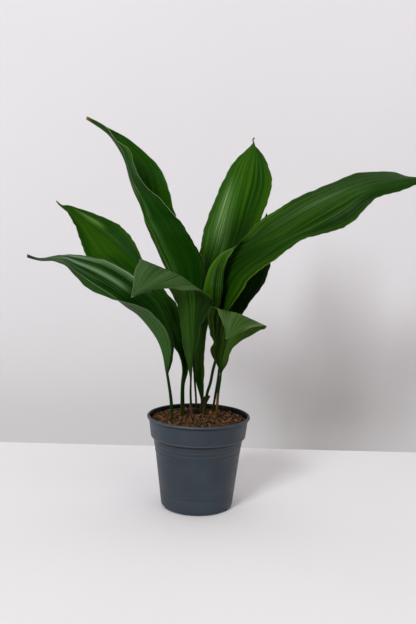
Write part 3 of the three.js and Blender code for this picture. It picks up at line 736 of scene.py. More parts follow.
def grid_normals(places):
    across = np.gradient(places, axis=1)
    along = np.gradient(places, axis=0)
    return unit(np.cross(across, along))


def skin_faces(rows, width):
    """Faces of a closed slab: the upper grid's vertices come first, then the lower grid's."""
    upper = np.arange(rows * width).reshape(rows, width)
    lower = upper + rows * width
    faces = []

    def quads(a, b, c, d):
        faces.extend(np.stack([a, b, c, d], -1).reshape(-1, 4).tolist())

    quads(upper[:-1, :-1], upper[:-1, 1:], upper[1:, 1:], upper[1:, :-1])
    quads(lower[:-1, :-1], lower[1:, :-1], lower[1:, 1:], lower[:-1, 1:])
    quads(upper[:-1, 0], upper[1:, 0], lower[1:, 0], lower[:-1, 0])
    quads(upper[:-1, -1], lower[:-1, -1], lower[1:, -1], upper[1:, -1])
    quads(upper[0, :-1], lower[0, :-1], lower[0, 1:], upper[0, 1:])
    quads(upper[-1, :-1], upper[-1, 1:], lower[-1, 1:], lower[-1, :-1])
    return faces


def slab(name, places, above, below, values):
    """A closed thin piece round a grid of places, with values stored on its vertices."""
    rows, width = places.shape[:2]
    normals = grid_normals(places)
    upper = places + normals * above[..., None]
    lower = places - normals * below[..., None]
    vertices = np.concatenate([upper.reshape(-1, 3), lower.reshape(-1, 3)])
    piece = mesh_object(name, vertices, skin_faces(rows, width))
    for key, value in values.items():
        layer = piece.data.attributes.new(key, "FLOAT", "POINT")
        layer.data.foreach_set("value", np.tile(value.ravel(), 2).astype(np.float32))
    return piece


def two_faced(piece, rows, width, upper_finish, under_finish):
    """Gives the slab's lower face its own finish; the faces of the upper grid come first."""
    piece.data.materials.append(upper_finish)
    piece.data.materials.append(under_finish)
    one_side = (rows - 1) * (width - 1)
    index = np.zeros(len(piece.data.polygons), np.int32)
    index[one_side:2 * one_side] = 1
    piece.data.polygons.foreach_set("material_index", index)


def leaf_rails(leaf):
    """Points of the three rails from the foot in the soil to the tip, and each row's bows."""
    rows = leaf["rows"]
    stalk = [[*leaf["foot"], STALK_FOOT], [*leaf["foot"], SOIL_LEVEL + 2], *leaf["stalk"]]

    def bar(middle, row, half_width):
        side = unit(np.subtract(row[2], row[0]).astype(float))
        return [middle - side * half_width, np.array(middle, float), middle + side * half_width]

    radii = STALK_SWELL * np.linspace(*leaf["radius"], len(stalk))
    points = [bar(middle, rows[0], radius) for middle, radius in zip(stalk, radii)]
    points += [[np.array(p, float) for p in row[:3]] for row in rows]
    ends = leaf.get("end") or [bar(leaf["tip"], rows[-1], TIP_HALF_WIDTH)]
    points += [[np.array(p, float) for p in end] for end in ends]
    straight = [0, 0]
    bows = [row[3] if len(row) > 3 else straight for row in rows]
    bows = [straight] * len(stalk) + bows + [straight] * len(ends)
    return np.array(points), np.array(bows, float), len(stalk)


def waves(rng, counts, place):
    """A smooth random line: a few sines of random phase, between about -1 and 1."""
    return sum(np.sin(math.tau * (count * place + rng.random())) for count in counts) / len(counts)


def waves_of_length(rng, lengths, place):
    return waves(rng, [1 / length for length in lengths], place)


def leaf_piece(name, leaf, look, finishes, rng):
    points, bows, stalk_rows = leaf_rails(leaf)
    all_rows = len(points)
    stations = ROW_STEPS * (all_rows - 1)
    t = np.linspace(0, 1, stations + 1)
    first, middle, last = (smooth_rail(points[:, i], t) for i in range(3))
    place = t * (all_rows - 1)
    bow = np.stack([np.interp(place, np.arange(all_rows), bows[:, half]) for half in range(2)])
    blade = smoothstep(place, stalk_rows - 1, stalk_rows + 1)
    counted = len(leaf["rows"])
    turns = [stalk_rows - 1, stalk_rows - 1 + counted, all_rows - 1]
    towards_tip = np.interp(place, turns, [0, counted / (counted + 1), 1])
    stalk_radius = STALK_SWELL * np.interp(place, [0, stalk_rows - 1], leaf["radius"])
    rib = leaf["radius"][1] + (RIB_END - leaf["radius"][1]) * towards_tip

    # Each half runs straight or bowed to its margin, with the fold at the midrib rounded off
    s = np.linspace(-1, 1, 2 * HALF_STRIPS + 1)
    size = np.abs(s)
    rounding = FOLD_ROUNDING
    q = (np.sqrt(s * s + rounding**2) - rounding) / (math.sqrt(1 + rounding**2) - rounding)
    half_sum = ((first - middle) + (last - middle)) / 2
    half_difference = (last - first) / 2
    places = middle[:, None] + s[None, :, None] * half_difference[:, None]
    places = places + q[None, :, None] * half_sum[:, None]
    along = np.gradient(middle, axis=0)
    upward = [unit(np.cross(middle - first, along)), unit(np.cross(last - middle, along))]
    for half, select in enumerate((s < 0, s > 0)):
        lift = (4 * q * (1 - q) * select)[None, :] * bow[half][:, None]
        places = places + lift[..., None] * upward[half][:, None]

    # Pleats along the blade and ripples at its margins
    length = np.concatenate([[0], np.cumsum(np.linalg.norm(np.diff(middle, axis=0), axis=1))])
    half_width = (np.linalg.norm(first - middle, axis=1) + np.linalg.norm(last - middle, axis=1)) / 2
    open_blade = (blade * smoothstep(half_width, NARROW_BLADE, OPEN_BLADE))[:, None]
    pleats = waves(rng, PLEAT_COUNTS, s / 2 + 0.5)[None, :] * smoothstep(size, 0.03, 0.15)[None, :]
    pleats = look["pleats"] * pleats * open_blade
    ripples = np.zeros_like(pleats)
    sideways = np.zeros_like(places)
    for select, edge in ((s < 0, first), (s > 0, last)):
        line = waves_of_length(rng, RIPPLE_LENGTHS, length)
        ripples += look["ripple"] * line[:, None] * (size**4 * select)[None, :] * open_blade
        wander = MARGIN_WANDER * waves_of_length(rng, WANDER_LENGTHS, length)[:, None] * open_blade
        sideways += (wander * (size**3 * select)[None, :])[..., None] * unit(edge - middle)[:, None]
    places = places + grid_normals(places) * (pleats + ripples)[..., None] + sideways

    # Half thickness above and below: round in the stalk, and a groove over a rib along the blade's middle
    thin = BLADE / 2 * (MARGIN_SHARE + (1 - MARGIN_SHARE) * (1 - size**6))
    round_stalk = np.maximum(thin[None, :], stalk_radius[:, None] * np.sqrt(1 - size**2)[None, :])
    from_rib = size * half_width[:, None]
    rib_shape = np.exp(-((from_rib / (0.35 + 0.8 * rib[:, None])) ** 2))
    above_blade = thin[None, :] - RIB_GROOVE_DEPTH * np.exp(-((from_rib / RIB_GROOVE_WIDTH) ** 2))
    below_blade = thin[None, :] + rib[:, None] * rib_shape
    share = blade[:, None]
    above = round_stalk + (above_blade - round_stalk) * share
    below = round_stalk + (below_blade - round_stalk) * share
    margin_distance = (1 - size)[None, :] * half_width[:, None]
    values = {
        "across": np.tile(s, (len(t), 1)),
        "along": np.tile(towards_tip[:, None], (1, len(s))),
        "margin": margin_distance + STALK_MARGIN * (1 - share),
        "blade": np.tile(share, (1, len(s))),
    }
    piece = slab(f"{name}_veined", places, above, below, values)
    two_faced(piece, len(t), len(s), *finishes)
    return piece


def add_leaves():
    rng = np.random.default_rng(SEED)
    for node, leaf in LEAVES.items():
        look = LEAF_LOOKS[node]
        finishes = [leaf_finish(f"{node}_{face}", look, face, SHEENS_SHADES_AND_LINES[node]) for face in ("upper", "under")]
        piece = leaf_piece(node, leaf, look, finishes, rng)
        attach(piece, "root")
        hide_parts(node)


# Pot
OUTER_WALL = [
    (BASE_RADIUS - 3, 0),
    (BASE_RADIUS, 0),
    (BASE_RADIUS + 1.7, 1),
    (BASE_RADIUS + 2.8, 4),
    (BASE_RADIUS + 3.4, 8),
    (57.6, 76),
    (58.4, 78),
    (58.6, 83),
    (59.4, 85),
    (BODY_TOP_RADIUS, BODY_TOP),
    (BODY_TOP_RADIUS + 0.7, COLLAR_BOTTOM - 2.2),
    (COLLAR_BOTTOM_RADIUS - 0.3, COLLAR_BOTTOM - 0.9),
    (COLLAR_BOTTOM_RADIUS, COLLAR_BOTTOM),
    (COLLAR_TOP_RADIUS, COLLAR_TOP),
    (RIM_RADIUS - 0.8, COLLAR_TOP + 0.8),
    (RIM_RADIUS, COLLAR_TOP + 2.4),
    (RIM_RADIUS - 0.3, POT_HEIGHT - 0.9),
    (RIM_RADIUS - 1.4, POT_HEIGHT),
    (RIM_RADIUS - 3, POT_HEIGHT - 0.3),
]
INNER_WALL = [
    (COLLAR_TOP_RADIUS - WALL, COLLAR_TOP + 1),
    (COLLAR_BOTTOM_RADIUS - WALL, COLLAR_BOTTOM + 0.5),
    (BODY_TOP_RADIUS - WALL, BODY_TOP + 0.5),
    (57.4 - WALL, 76),
    (BASE_RADIUS + 3.4 - WALL, 9),
    (BASE_RADIUS + 1.2 - WALL, FLOOR),
]
CORNER_REACH = 0.9
CORNER_STEPS = 5
# Height and depth of each ring groove
RING_GROOVES = [(21.5, 0.2), (26.5, 0.16), (70, 0.08)]
# A groove's section: height from its middle and share of its depth
GROOVE_SECTION = [(-0.8, 0), (-0.3, 1), (0.3, 1), (0.8, 0)]
POT_DEEP, POT_LIGHT = (32, 42, 52), (44, 55, 65)
# Pale scuffs and specks of dust, and the near-black painted shade inside the pot
SCUFF_COLOUR, SPECK_COLOUR, INSIDE_SHADE_COLOUR = (96, 100, 106), (116, 116, 112), (9, 9, 10)
# Painted shade and painted highlight along the pot's grooves and corners: dark lines of painted shade in the
# grooves and under the collar and the rim's bead, pale lines of painted highlight on the edges; height, half
# width, strength and colour
SHADE_LINE_COLOUR, HIGHLIGHT_LINE_COLOUR = (5, 7, 9), (104, 110, 118)
POT_SHADE_AND_HIGHLIGHT_LINES = [
    (21.5, 0.6, 0.45, SHADE_LINE_COLOUR),
    (26.5, 0.5, 0.35, SHADE_LINE_COLOUR),
    (80.4, 0.7, 0.4, SHADE_LINE_COLOUR),
    (82.0, 0.5, 0.2, HIGHLIGHT_LINE_COLOUR),
    (86.0, 0.7, 0.4, SHADE_LINE_COLOUR),
    (87.6, 0.5, 0.2, HIGHLIGHT_LINE_COLOUR),
    (95.0, 1.9, 0.97, SHADE_LINE_COLOUR),
    (98.4, 0.7, 0.3, HIGHLIGHT_LINE_COLOUR),
    (121.4, 1.9, 1.0, SHADE_LINE_COLOUR),
    (124.6, 0.8, 0.25, HIGHLIGHT_LINE_COLOUR),
]


def rounded(profile):
    """The profile with every corner turned into a short curve that stays inside it."""
    profile = [np.array(p, float) for p in profile]
    out = [profile[0]]
    for before, corner, after in zip(profile, profile[1:], profile[2:]):
        shorter = min(np.linalg.norm(before - corner), np.linalg.norm(after - corner))
        reach = min(CORNER_REACH, 0.45 * shorter)
        start = corner + unit(before - corner) * reach
        end = corner + unit(after - corner) * reach
        for u in np.linspace(0, 1, CORNER_STEPS):
            out.append((1 - u) ** 2 * start + 2 * u * (1 - u) * corner + u * u * end)
    out.append(profile[-1])
    return out


def turned(name, profile, segments):
    """A closed shape turned about +Z from a profile that starts and ends on the axis."""
    vertices = [(0, 0, profile[0][1]), (0, 0, profile[-1][1])]
    angles = ring_angles(segments)
    for radius, height in profile[1:-1]:
        vertices += [(radius * math.cos(a), radius * math.sin(a), height) for a in angles]
    return mesh_object(name, vertices, ring_faces(len(profile) - 2, segments))


def grooved(profile):
    """Adds the faint moulded rings to the straight stretch of the wall."""
    out = []
    for a, b in zip(profile, profile[1:]):
        out.append(a)
        for height, depth in sorted(RING_GROOVES):
            if a[1] < height - 1 and height + 1 < b[1] and a[0] > BASE_RADIUS:
                for offset, share in GROOVE_SECTION:
                    level = height + offset
                    radius = a[0] + (b[0] - a[0]) * (level - a[1]) / (b[1] - a[1])
                    out.append(np.array([radius - depth * share, level]))
    out.append(profile[-1])
    return out


def joined(name, parts):
    mesh = bmesh.new()
    for part in parts:
        mesh.from_mesh(part.data)
        bpy.data.objects.remove(part)
    return linked(object_of(name, mesh))


def cut(piece, cutter):
    """Takes the cutter out of the piece and leaves the result as a plain mesh."""
    modifier = piece.modifiers.new("cut", "BOOLEAN")
    modifier.object = cutter
    modifier.operation = "DIFFERENCE"
    modifier.solver = "EXACT"
    evaluated = piece.evaluated_get(bpy.context.evaluated_depsgraph_get())
    result = bpy.data.meshes.new_from_object(evaluated)
    piece.modifiers.clear()
    piece.data = result
    bpy.data.objects.remove(cutter)
    result.shade_smooth()
    result.set_sharp_from_angle(angle=SHARP_FROM)


def block(name, size, place, turn):
    """A box of that size, moved to its place and then turned about +Z."""
    mesh = bmesh.new()
    bmesh.ops.create_cube(mesh, size=1)
    sized = Matrix.Diagonal((*(s * MM for s in size), 1))
    placed = Matrix.Translation(Vector(place) * MM)
    mesh.transform(Matrix.Rotation(turn, 4, "Z") @ placed @ sized)
    return object_of(name, mesh)


def rod(name, radius, height, place):
    mesh = bmesh.new()
    shape = {"radius1": radius * MM, "radius2": radius * MM, "depth": height * MM}
    bmesh.ops.create_cone(mesh, cap_ends=True, segments=32, **shape)
    mesh.transform(Matrix.Translation(Vector(place) * MM))
    return object_of(name, mesh)


def pot_finish(name, inside_shade, gloss):
    material, tree, shader = new_finish(name)
    place = object_place(tree)
    haze = noise(tree, place, 14.0, 3.0, 0.6)
    dust_and_shade = noise(tree, place, 1400.0, 1.0)
    scuff = noise(tree, stretched(tree, place, (1.0, 1.0, 9.0)), 60.0, 4.0, 0.65)
    colour = mixed(tree, ranged(tree, haze, 0.3, 0.75), linear(*POT_DEEP), linear(*POT_LIGHT))
    pale = times(tree, ranged(tree, scuff, 0.6, 0.8), 0.18)
    colour = mixed(tree, pale, colour, linear(*SCUFF_COLOUR))
    specks = times(tree, ranged(tree, dust_and_shade, 0.68, 0.78), 0.35)
    colour = mixed(tree, specks, colour, linear(*SPECK_COLOUR))
    height = object_height(tree)
    # Lines of painted shade and painted highlight round the pot at set heights
    for level, half_width, strength, tone in POT_SHADE_AND_HIGHLIGHT_LINES:
        distance = maths(tree, "ABSOLUTE", minus(tree, height, level * MM))
        line = ranged(tree, distance, half_width * MM, 0.3 * half_width * MM)
        colour = mixed(tree, times(tree, line, strength), colour, linear(*tone))
    # Inside the pot: near-black painted shade, a little broken up by the noise
    inside_shaded = times(tree, ranged(tree, dust_and_shade, 0.25, 0.5, 0.8, 1.0), inside_shade)
    colour = mixed(tree, inside_shaded, colour, linear(*INSIDE_SHADE_COLOUR))

    rough = ranged(tree, scuff, 0.3, 0.8, 0.42, 0.6)
    grain = noise(tree, place, 2600.0, 2.0)
    normal = bumped(tree, grain, 0.00006, 0.5)
    wire(tree, shader, Base_Color=colour, Roughness=rough, Normal=normal, Specular_IOR_Level=gloss)
    return material


def add_pot():
    profile = [(0, 0), *grooved(rounded([*OUTER_WALL, *INNER_WALL])), (0, FLOOR)]
    pot = turned("pot_moulded", profile, POT_SEGMENTS)
    cutters = []
    for i in range(DRAIN_HOLES):
        angle = math.tau * i / DRAIN_HOLES
        place = (DRAIN_CIRCLE * math.cos(angle), DRAIN_CIRCLE * math.sin(angle), FLOOR / 2)
        cutters.append(rod(f"drain_cut_{i}", DRAIN_HOLE_RADIUS, 4 * FLOOR, place))
    for i in range(NOTCHES):
        turn = math.radians(NOTCH["first_angle"]) + math.tau * i / NOTCHES
        size = (NOTCH["depth"], NOTCH["width"], 2 * NOTCH["height"])
        cutters.append(block(f"notch_cut_{i}", size, (NOTCH["centre_radius"], 0, 0), turn))
    cut(pot, joined("pot_cutters", cutters))
    pot.data.materials.clear()
    pot.data.materials.append(pot_finish("slate_grey_plastic", 0.0, 0.42))
    pot.data.materials.append(pot_finish("pot_inside_painted_shade", 0.97, 0.08))
    # Faces inside the pot, above the collar's foot, get the finish with painted shade
    for face in pot.data.polygons:
        x, y, z = face.center / MM
        wall_reach = np.interp(z, [COLLAR_BOTTOM, COLLAR_TOP], [COLLAR_BOTTOM_RADIUS, COLLAR_TOP_RADIUS])
        if z > COLLAR_TOP:
            wall_reach = RIM_RADIUS - 2
        inside = math.hypot(x, y) < wall_reach - WALL / 2
        if inside and COLLAR_BOTTOM < z < POT_HEIGHT - 0.6:
            face.material_index = 1
    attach(pot, "root")
    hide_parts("pot")


# Soil
SOIL_RADIUS = COLLAR_TOP_RADIUS - WALL - CLEARANCE - 0.4
SOIL_RINGS = 90
SOIL_SEGMENTS = 260
# Height and reach of the bed's three fine wave patterns
SOIL_WAVES = [(0.35, 5.0), (0.4, 2.6), (0.35, 1.5)]
SOIL_BOTTOM = COLLAR_BOTTOM + 2
# Level and radius of the rings down the bed's side
SOIL_SIDE = [(112, SOIL_RADIUS - 0.6), (SOIL_BOTTOM, COLLAR_BOTTOM_RADIUS - WALL - 0.8)]
SCATTER_LOWEST = 114
SCATTER_MARGIN = 2.6
HOLLOW_SHADE_REACH, HOLLOW_SHADE_FULL = 17, 9
CRUMBS = {"count": 2300, "smallest": 0.5, "largest": 1.8, "lift": 0.2}
LUMPS = {"count": 420, "smallest": 1.6, "largest": 3.4, "lift": 0.3}
SHREDS = {"count": 900, "smallest": 0.55, "largest": 1.3, "lift": 0.6}
FIBRES = {"count": 420, "smallest": 0.5, "largest": 1.1, "lift": 0.8}
SOIL_DARK, SOIL_PALE = (6, 4, 2), (34, 22, 13)
# Painted shade in the soil's hollow and in the gaps between clods
HOLLOW_SHADE_COLOUR, GAP_SHADE_COLOUR = (3, 2, 1), (10, 6, 3)
CRUMB_DARK, CRUMB_PALE = (18, 10, 5), (136, 94, 56)
SHRED_DARK, SHRED_PALE = (52, 32, 18), (176, 126, 80)
FIBRE_DARK, FIBRE_PALE = (60, 39, 24), (140, 104, 70)
CHIP_STRETCHES = [(1, 0.7, 0.6), (1.3, 0.6, 0.5), (0.9, 0.9, 0.7), (1.5, 0.5, 0.45)]


def soil_height(x, y, phases):
    lumps = np.sin(x * 0.21 + 1) * np.cos(y * 0.24) + 0.7 * np.sin(x * 0.47 - y * 0.38 + 2)
    height = SOIL_LEVEL + LUMP_HEIGHT * lumps
    for dip in (HOLLOW, FALL):
        away = (x - dip["x"]) ** 2 + (y - dip["y"]) ** 2
        height = height - dip["depth"] * np.exp(-away / dip["spread"])
    for size, reach, phase in phases:
        turn = phase[0] * math.tau
        u = x * math.cos(turn) + y * math.sin(turn)
        v = y * math.cos(turn) - x * math.sin(turn)
        height = height + size * np.sin(u / reach + phase[1] * 6) * np.sin(v / reach + phase[2] * 6)
    return height


def soil_finish():
    material, tree, shader = new_finish("coir_soil")
    place = object_place(tree)
    crumbs = noise(tree, place, 420.0, 3.0, 0.7)
    colour = mixed(tree, ranged(tree, crumbs, 0.35, 0.7), linear(*SOIL_DARK), linear(*SOIL_PALE))
    normal = bumped(tree, crumbs, 0.0016, 1.0)
    wire(tree, shader, Base_Color=colour, Roughness=0.95, Normal=normal, Specular_IOR_Level=0.2)
    return material


def crumb_finish(name, dark, pale):
    """Each crumb has a tone of its own; painted shade darkens them all in the hollow and in the gaps between
    clods.
    """
    material, tree, shader = new_finish(name)
    tone = attribute(tree, "tone")
    place = object_place(tree)
    grain = noise(tree, place, 900.0, 3.0, 0.7)
    share = plus(tree, times(tree, tone, 0.75), times(tree, grain, 0.45))
    colour = mixed(tree, ranged(tree, share, 0.15, 1.05, smooth=False), linear(*dark), linear(*pale))
    # Painted shade darkens the crumbs near the hollow
    hollow = (HOLLOW["x"] * MM, HOLLOW["y"] * MM, SOIL_LEVEL * MM)
    away = vector_maths(tree, "DISTANCE", place, hollow).outputs["Value"]
    shade = ranged(tree, away, HOLLOW_SHADE_REACH * MM, HOLLOW_SHADE_FULL * MM, 0.0, 0.95)
    colour = mixed(tree, shade, colour, linear(*HOLLOW_SHADE_COLOUR))
    # Painted shade in the gaps between clods
    gaps = noise(tree, place, 190.0, 2.0, 0.6)
    colour = mixed(tree, ranged(tree, gaps, 0.5, 0.41, 0.0, 0.9), colour, linear(*GAP_SHADE_COLOUR))
    normal = bumped(tree, grain, 0.0008, 0.8)
    wire(tree, shader, Base_Color=colour, Roughness=0.92, Normal=normal, Specular_IOR_Level=0.25)
    return material


def add_soil(rng):
    phases = [(size, reach, rng.random(3)) for size, reach in SOIL_WAVES]
    shares = np.sqrt(np.linspace(0, 1, SOIL_RINGS + 1))[1:]
    angles = ring_angles(SOIL_SEGMENTS)
    radius = SOIL_RADIUS * shares[:, None]
    x, y = radius * np.cos(angles), radius * np.sin(angles)
    rings = list(np.stack([x, y, soil_height(x, y, phases)], -1))
    for level, reach in SOIL_SIDE:
        height = np.full(SOIL_SEGMENTS, level)
        rings.append(np.stack([reach * np.cos(angles), reach * np.sin(angles), height], -1))
    middle = np.zeros(1)
    vertices = [(0, 0, float(soil_height(middle, middle, phases)[0])), (0, 0, SOIL_BOTTOM)]
    vertices += np.concatenate(rings).tolist()
    soil = mesh_object("soil_bed", vertices, turned_over(ring_faces(len(rings), SOIL_SEGMENTS)))
    soil.data.materials.append(soil_finish())
    return soil


def crumb_shape(name, rng, stretch):
    """A small angular chip of a few dozen faces, about 1 mm in radius."""
    mesh = bmesh.new()
    bmesh.ops.create_icosphere(mesh, subdivisions=1, radius=1)
    for vertex in mesh.verts:
        vertex.co *= rng.uniform(0.65, 1.25)
        vertex.co = Vector([place * share for place, share in zip(vertex.co, stretch)])
    mesh.transform(Matrix.Scale(MM, 4))
    return object_of(name, mesh)


def fibre_shape(name, rng):
    """A short bent fibre with three sides."""
    length, steps, thickness = 6.0, 5, 0.16
    bend = rng.uniform(0.5, 1.4)
    vertices = []
    for k in range(steps + 1):
        u = k / steps - 0.5
        sway = bend * math.cos(3 * u) + 0.3 * math.sin(9 * u)
        centre = np.array([length * u, sway, 0.5 * bend * math.cos(5 * u)])
        for angle in ring_angles(3):
            vertices.append(centre + thickness * np.array([0, math.cos(angle), math.sin(angle)]))
    ends = [[0, 1, 2], [3 * steps + 2, 3 * steps + 1, 3 * steps]]
    return loose_object(name, vertices, turned_over(tube_faces(steps, 3)) + ends)


def shred_shape(name, rng):
    """A curled flat shred of husk, about 4 mm long."""
    length, steps, half_width, half_thickness = 4.0, 6, 0.55, 0.12
    curl, twist = rng.uniform(1.2, 2.6), rng.uniform(-0.8, 0.8)
    vertices = []
    for k in range(steps + 1):
        u = k / steps - 0.5
        sine, cosine = math.sin(curl * u), math.cos(curl * u)
        centre = np.array([length / curl * sine, 0.3 * math.sin(5 * u), length / curl * cosine])
        taper = 1 - 1.6 * u * u
        side = taper * half_width * np.array([0, math.cos(twist * u * 2), math.sin(twist * u * 2)])
        up = half_thickness * np.array([sine, 0, cosine])
        vertices += [centre - side - up, centre + side - up, centre + side + up, centre - side + up]
    ends = [[3, 2, 1, 0], [4 * steps, 4 * steps + 1, 4 * steps + 2, 4 * steps + 3]]
    shred = loose_object(name, vertices, ends + tube_faces(steps, 4))
    shred.data.set_sharp_from_angle(angle=SHARP_FROM)
    return shred


STREW_INPUTS = {
    "Geometry": "NodeSocketGeometry",
    "Density": "NodeSocketFloat",
    "Smallest": "NodeSocketFloat",
    "Largest": "NodeSocketFloat",
    "Lift": "NodeSocketFloat",
    "Seed": "NodeSocketInt",
    "Shapes": "NodeSocketCollection",
}
SIZE_SKEW = 1.8


def random_share(tree, seed):
    return add_node(tree, "FunctionNodeRandomValue", {"Seed": seed}, data_type="FLOAT").outputs[1]


def scatter_tree(material):
    """Geometry Nodes: strews shapes of random size, turn and tone over the upward faces of the soil."""
    tree = bpy.data.node_groups.new("strew", "GeometryNodeTree")
    for label, kind in STREW_INPUTS.items():
        tree.interface.new_socket(label, in_out="INPUT", socket_type=kind)
    tree.interface.new_socket("Geometry", in_out="OUTPUT", socket_type="NodeSocketGeometry")
    given = tree.nodes.new("NodeGroupInput")
    seed = given.outputs["Seed"]
    position = tree.nodes.new("GeometryNodeInputPosition").outputs[0]
    height = add_node(tree, "ShaderNodeSeparateXYZ", {0: position}).outputs["Z"]
    flat = vector_maths(tree, "MULTIPLY", position, (1.0, 1.0, 0.0)).outputs[0]
    reach = vector_maths(tree, "LENGTH", flat).outputs["Value"]
    on_top = maths(tree, "GREATER_THAN", height, SCATTER_LOWEST * MM)
    well_inside = maths(tree, "LESS_THAN", reach, (SOIL_RADIUS - SCATTER_MARGIN) * MM)
    both = {"A": times(tree, on_top, well_inside), "B": 0.5}
    top = add_node(tree, "FunctionNodeCompare", both, data_type="FLOAT", operation="GREATER_THAN")
    points = add_node(tree, "GeometryNodeDistributePointsOnFaces", {
        "Mesh": given.outputs["Geometry"], "Selection": top.outputs[0],
        "Density": given.outputs["Density"], "Seed": seed,
    })
    turns = {"Min": (0.0, 0.0, 0.0), "Max": (math.tau, math.tau, math.tau), "Seed": seed}
    turn = add_node(tree, "FunctionNodeRandomValue", turns, data_type="FLOAT_VECTOR")
    skewed = maths(tree, "POWER", random_share(tree, plus(tree, seed, 11)), SIZE_SKEW)
    size = add_node(tree, "ShaderNodeMapRange", {
        "Value": skewed, "To Min": given.outputs["Smallest"], "To Max": given.outputs["Largest"],
    })
    lifted = add_node(tree, "GeometryNodeSetPosition", {
        "Geometry": points.outputs["Points"],
        "Offset": add_node(tree, "ShaderNodeCombineXYZ", {2: given.outputs["Lift"]}).outputs[0],
    })
    chosen = add_node(tree, "GeometryNodeCollectionInfo", {
        "Collection": given.outputs["Shapes"], "Separate Children": True, "Reset Children": True,
    })
    strewn = add_node(tree, "GeometryNodeInstanceOnPoints", {
        "Points": lifted.outputs[0], "Instance": chosen.outputs[0], "Pick Instance": True,
        "Rotation": turn.outputs[0], "Scale": size.outputs[0],
    })
    tone = random_share(tree, plus(tree, seed, 23))
    stored = {"Geometry": strewn.outputs[0], "Name": "tone", "Value": tone}
    toned = add_node(tree, "GeometryNodeStoreNamedAttribute", stored, data_type="FLOAT", domain="INSTANCE")
    real = add_node(tree, "GeometryNodeRealizeInstances", {"Geometry": toned.outputs[0]}).outputs[0]
    finished = add_node(tree, "GeometryNodeSetMaterial", {"Geometry": real, "Material": material})
    out = tree.nodes.new("NodeGroupOutput")
    tree.links.new(finished.outputs[0], out.inputs["Geometry"])
    return tree


def strew(name, bed, tree, values):
    """Runs the strewing over the bed and returns it as a plain mesh piece."""
    carrier = linked(bpy.data.objects.new(name, bed.data.copy()))
    modifier = carrier.modifiers.new("strew", "NODES")
    modifier.node_group = tree
    for item in tree.interface.items_tree:
        if item.in_out == "INPUT" and item.name in values:
            modifier[item.identifier] = values[item.name]
    carrier.update_tag()
    evaluated = carrier.evaluated_get(bpy.context.evaluated_depsgraph_get())
    result = bpy.data.meshes.new_from_object(evaluated)
    carrier.modifiers.clear()
    carrier.data = result
    return carrier


def add_soil_and_crumbs():
    rng = np.random.default_rng(SEED + 1)
    soil = add_soil(rng)
    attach(soil, "root")
    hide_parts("soil")
    area = math.pi * (SOIL_RADIUS * MM) ** 2
    chips = bpy.data.collections.new("chip_shapes")
    for k, stretch in enumerate(CHIP_STRETCHES):
        chips.objects.link(crumb_shape(f"chip_{k}", rng, stretch))
    threads = bpy.data.collections.new("fibre_shapes")
    husks = bpy.data.collections.new("shred_shapes")
    for k in range(3):
        threads.objects.link(fibre_shape(f"fibre_{k}", rng))
        husks.objects.link(shred_shape(f"shred_{k}", rng))
    crumb_brown = crumb_finish("coir_crumbs", CRUMB_DARK, CRUMB_PALE)
    shred_brown = crumb_finish("coir_shreds", SHRED_DARK, SHRED_PALE)
    fibre_brown = crumb_finish("coir_fibres", FIBRE_DARK, FIBRE_PALE)
    jobs = [
        ("soil_crumbs", chips, crumb_brown, CRUMBS, 3),
        ("soil_lumps", chips, crumb_brown, LUMPS, 5),
        ("soil_shreds", husks, shred_brown, SHREDS, 7),
        ("soil_fibres", threads, fibre_brown, FIBRES, 9),
    ]
    for name, shapes, material, amount, seed in jobs:
        values = {
            "Density": amount["count"] / area,
            "Smallest": amount["smallest"],
            "Largest": amount["largest"],
            "Lift": amount["lift"] * MM,
            "Seed": seed,
            "Shapes": shapes,
        }
        piece = strew(name, soil, scatter_tree(material), values)
        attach(piece, "root")
    for shapes in (chips, threads, husks):
        for shape in list(shapes.objects):
            bpy.data.objects.remove(shape)
        bpy.data.collections.remove(shapes)


# Dried scales at the feet of the stalks
SCALES = {
    "scale_middle": [
        [[2.4, 38, 112], [4.5, 40, 112], [6.5, 38.5, 112]],
        [[1.8, 37.5, 124], [4.5, 40, 124], [7, 38, 124]],
        [[2.6, 37, 134], [7, 39.5, 134], [11, 37, 134]],
        [[6.3, 35.5, 143], [11, 37, 146], [15.8, 33.5, 144]],
    ],
    "scale_right": [
        [[22.6, -1.6, 112], [24.4, -2.6, 112], [26, -2, 112]],
        [[22.6, -1.8, 124], [24.5, -2.8, 124], [26.2, -2, 124]],
        [[23.4, -3, 142], [25.2, -4, 142], [26.6, -3.2, 142]],
        [[24.5, -4, 155], [26, -4.7, 157.5], [27.4, -4.3, 156.5]],
    ],
    "scale_front": [
        [[-11, 14.5, 112], [-9, 14, 112], [-7, 14.5, 112]],
        [[-11.5, 15, 122], [-9.5, 14.4, 122], [-7.3, 15, 122]],
        [[-13, 16, 130], [-11, 15.4, 130], [-9, 16, 130]],
        [[-13.6, 16.5, 135], [-12, 16, 136], [-10.6, 16.5, 135]],
    ],
}
# Dark and pale streaks of each scale, then the tone of its foot
SCALE_LOOKS = {
    "scale_middle": ((24, 8, 2), (74, 40, 22), (60, 42, 20)),
    "scale_right": ((66, 36, 0), (118, 70, 2), (46, 48, 8)),
    "scale_front": ((40, 26, 15), (100, 70, 44), (44, 32, 18)),
}
SCALE_THICKNESS = 0.35
SCALE_ROWS, SCALE_COLUMNS = 37, 17
TATTER_COUNTS, TATTER_HEIGHT = (2.3, 5.1, 7.7), 0.9
BUCKLE_COUNTS, BUCKLE_HEIGHT = (2, 3.5), 0.25


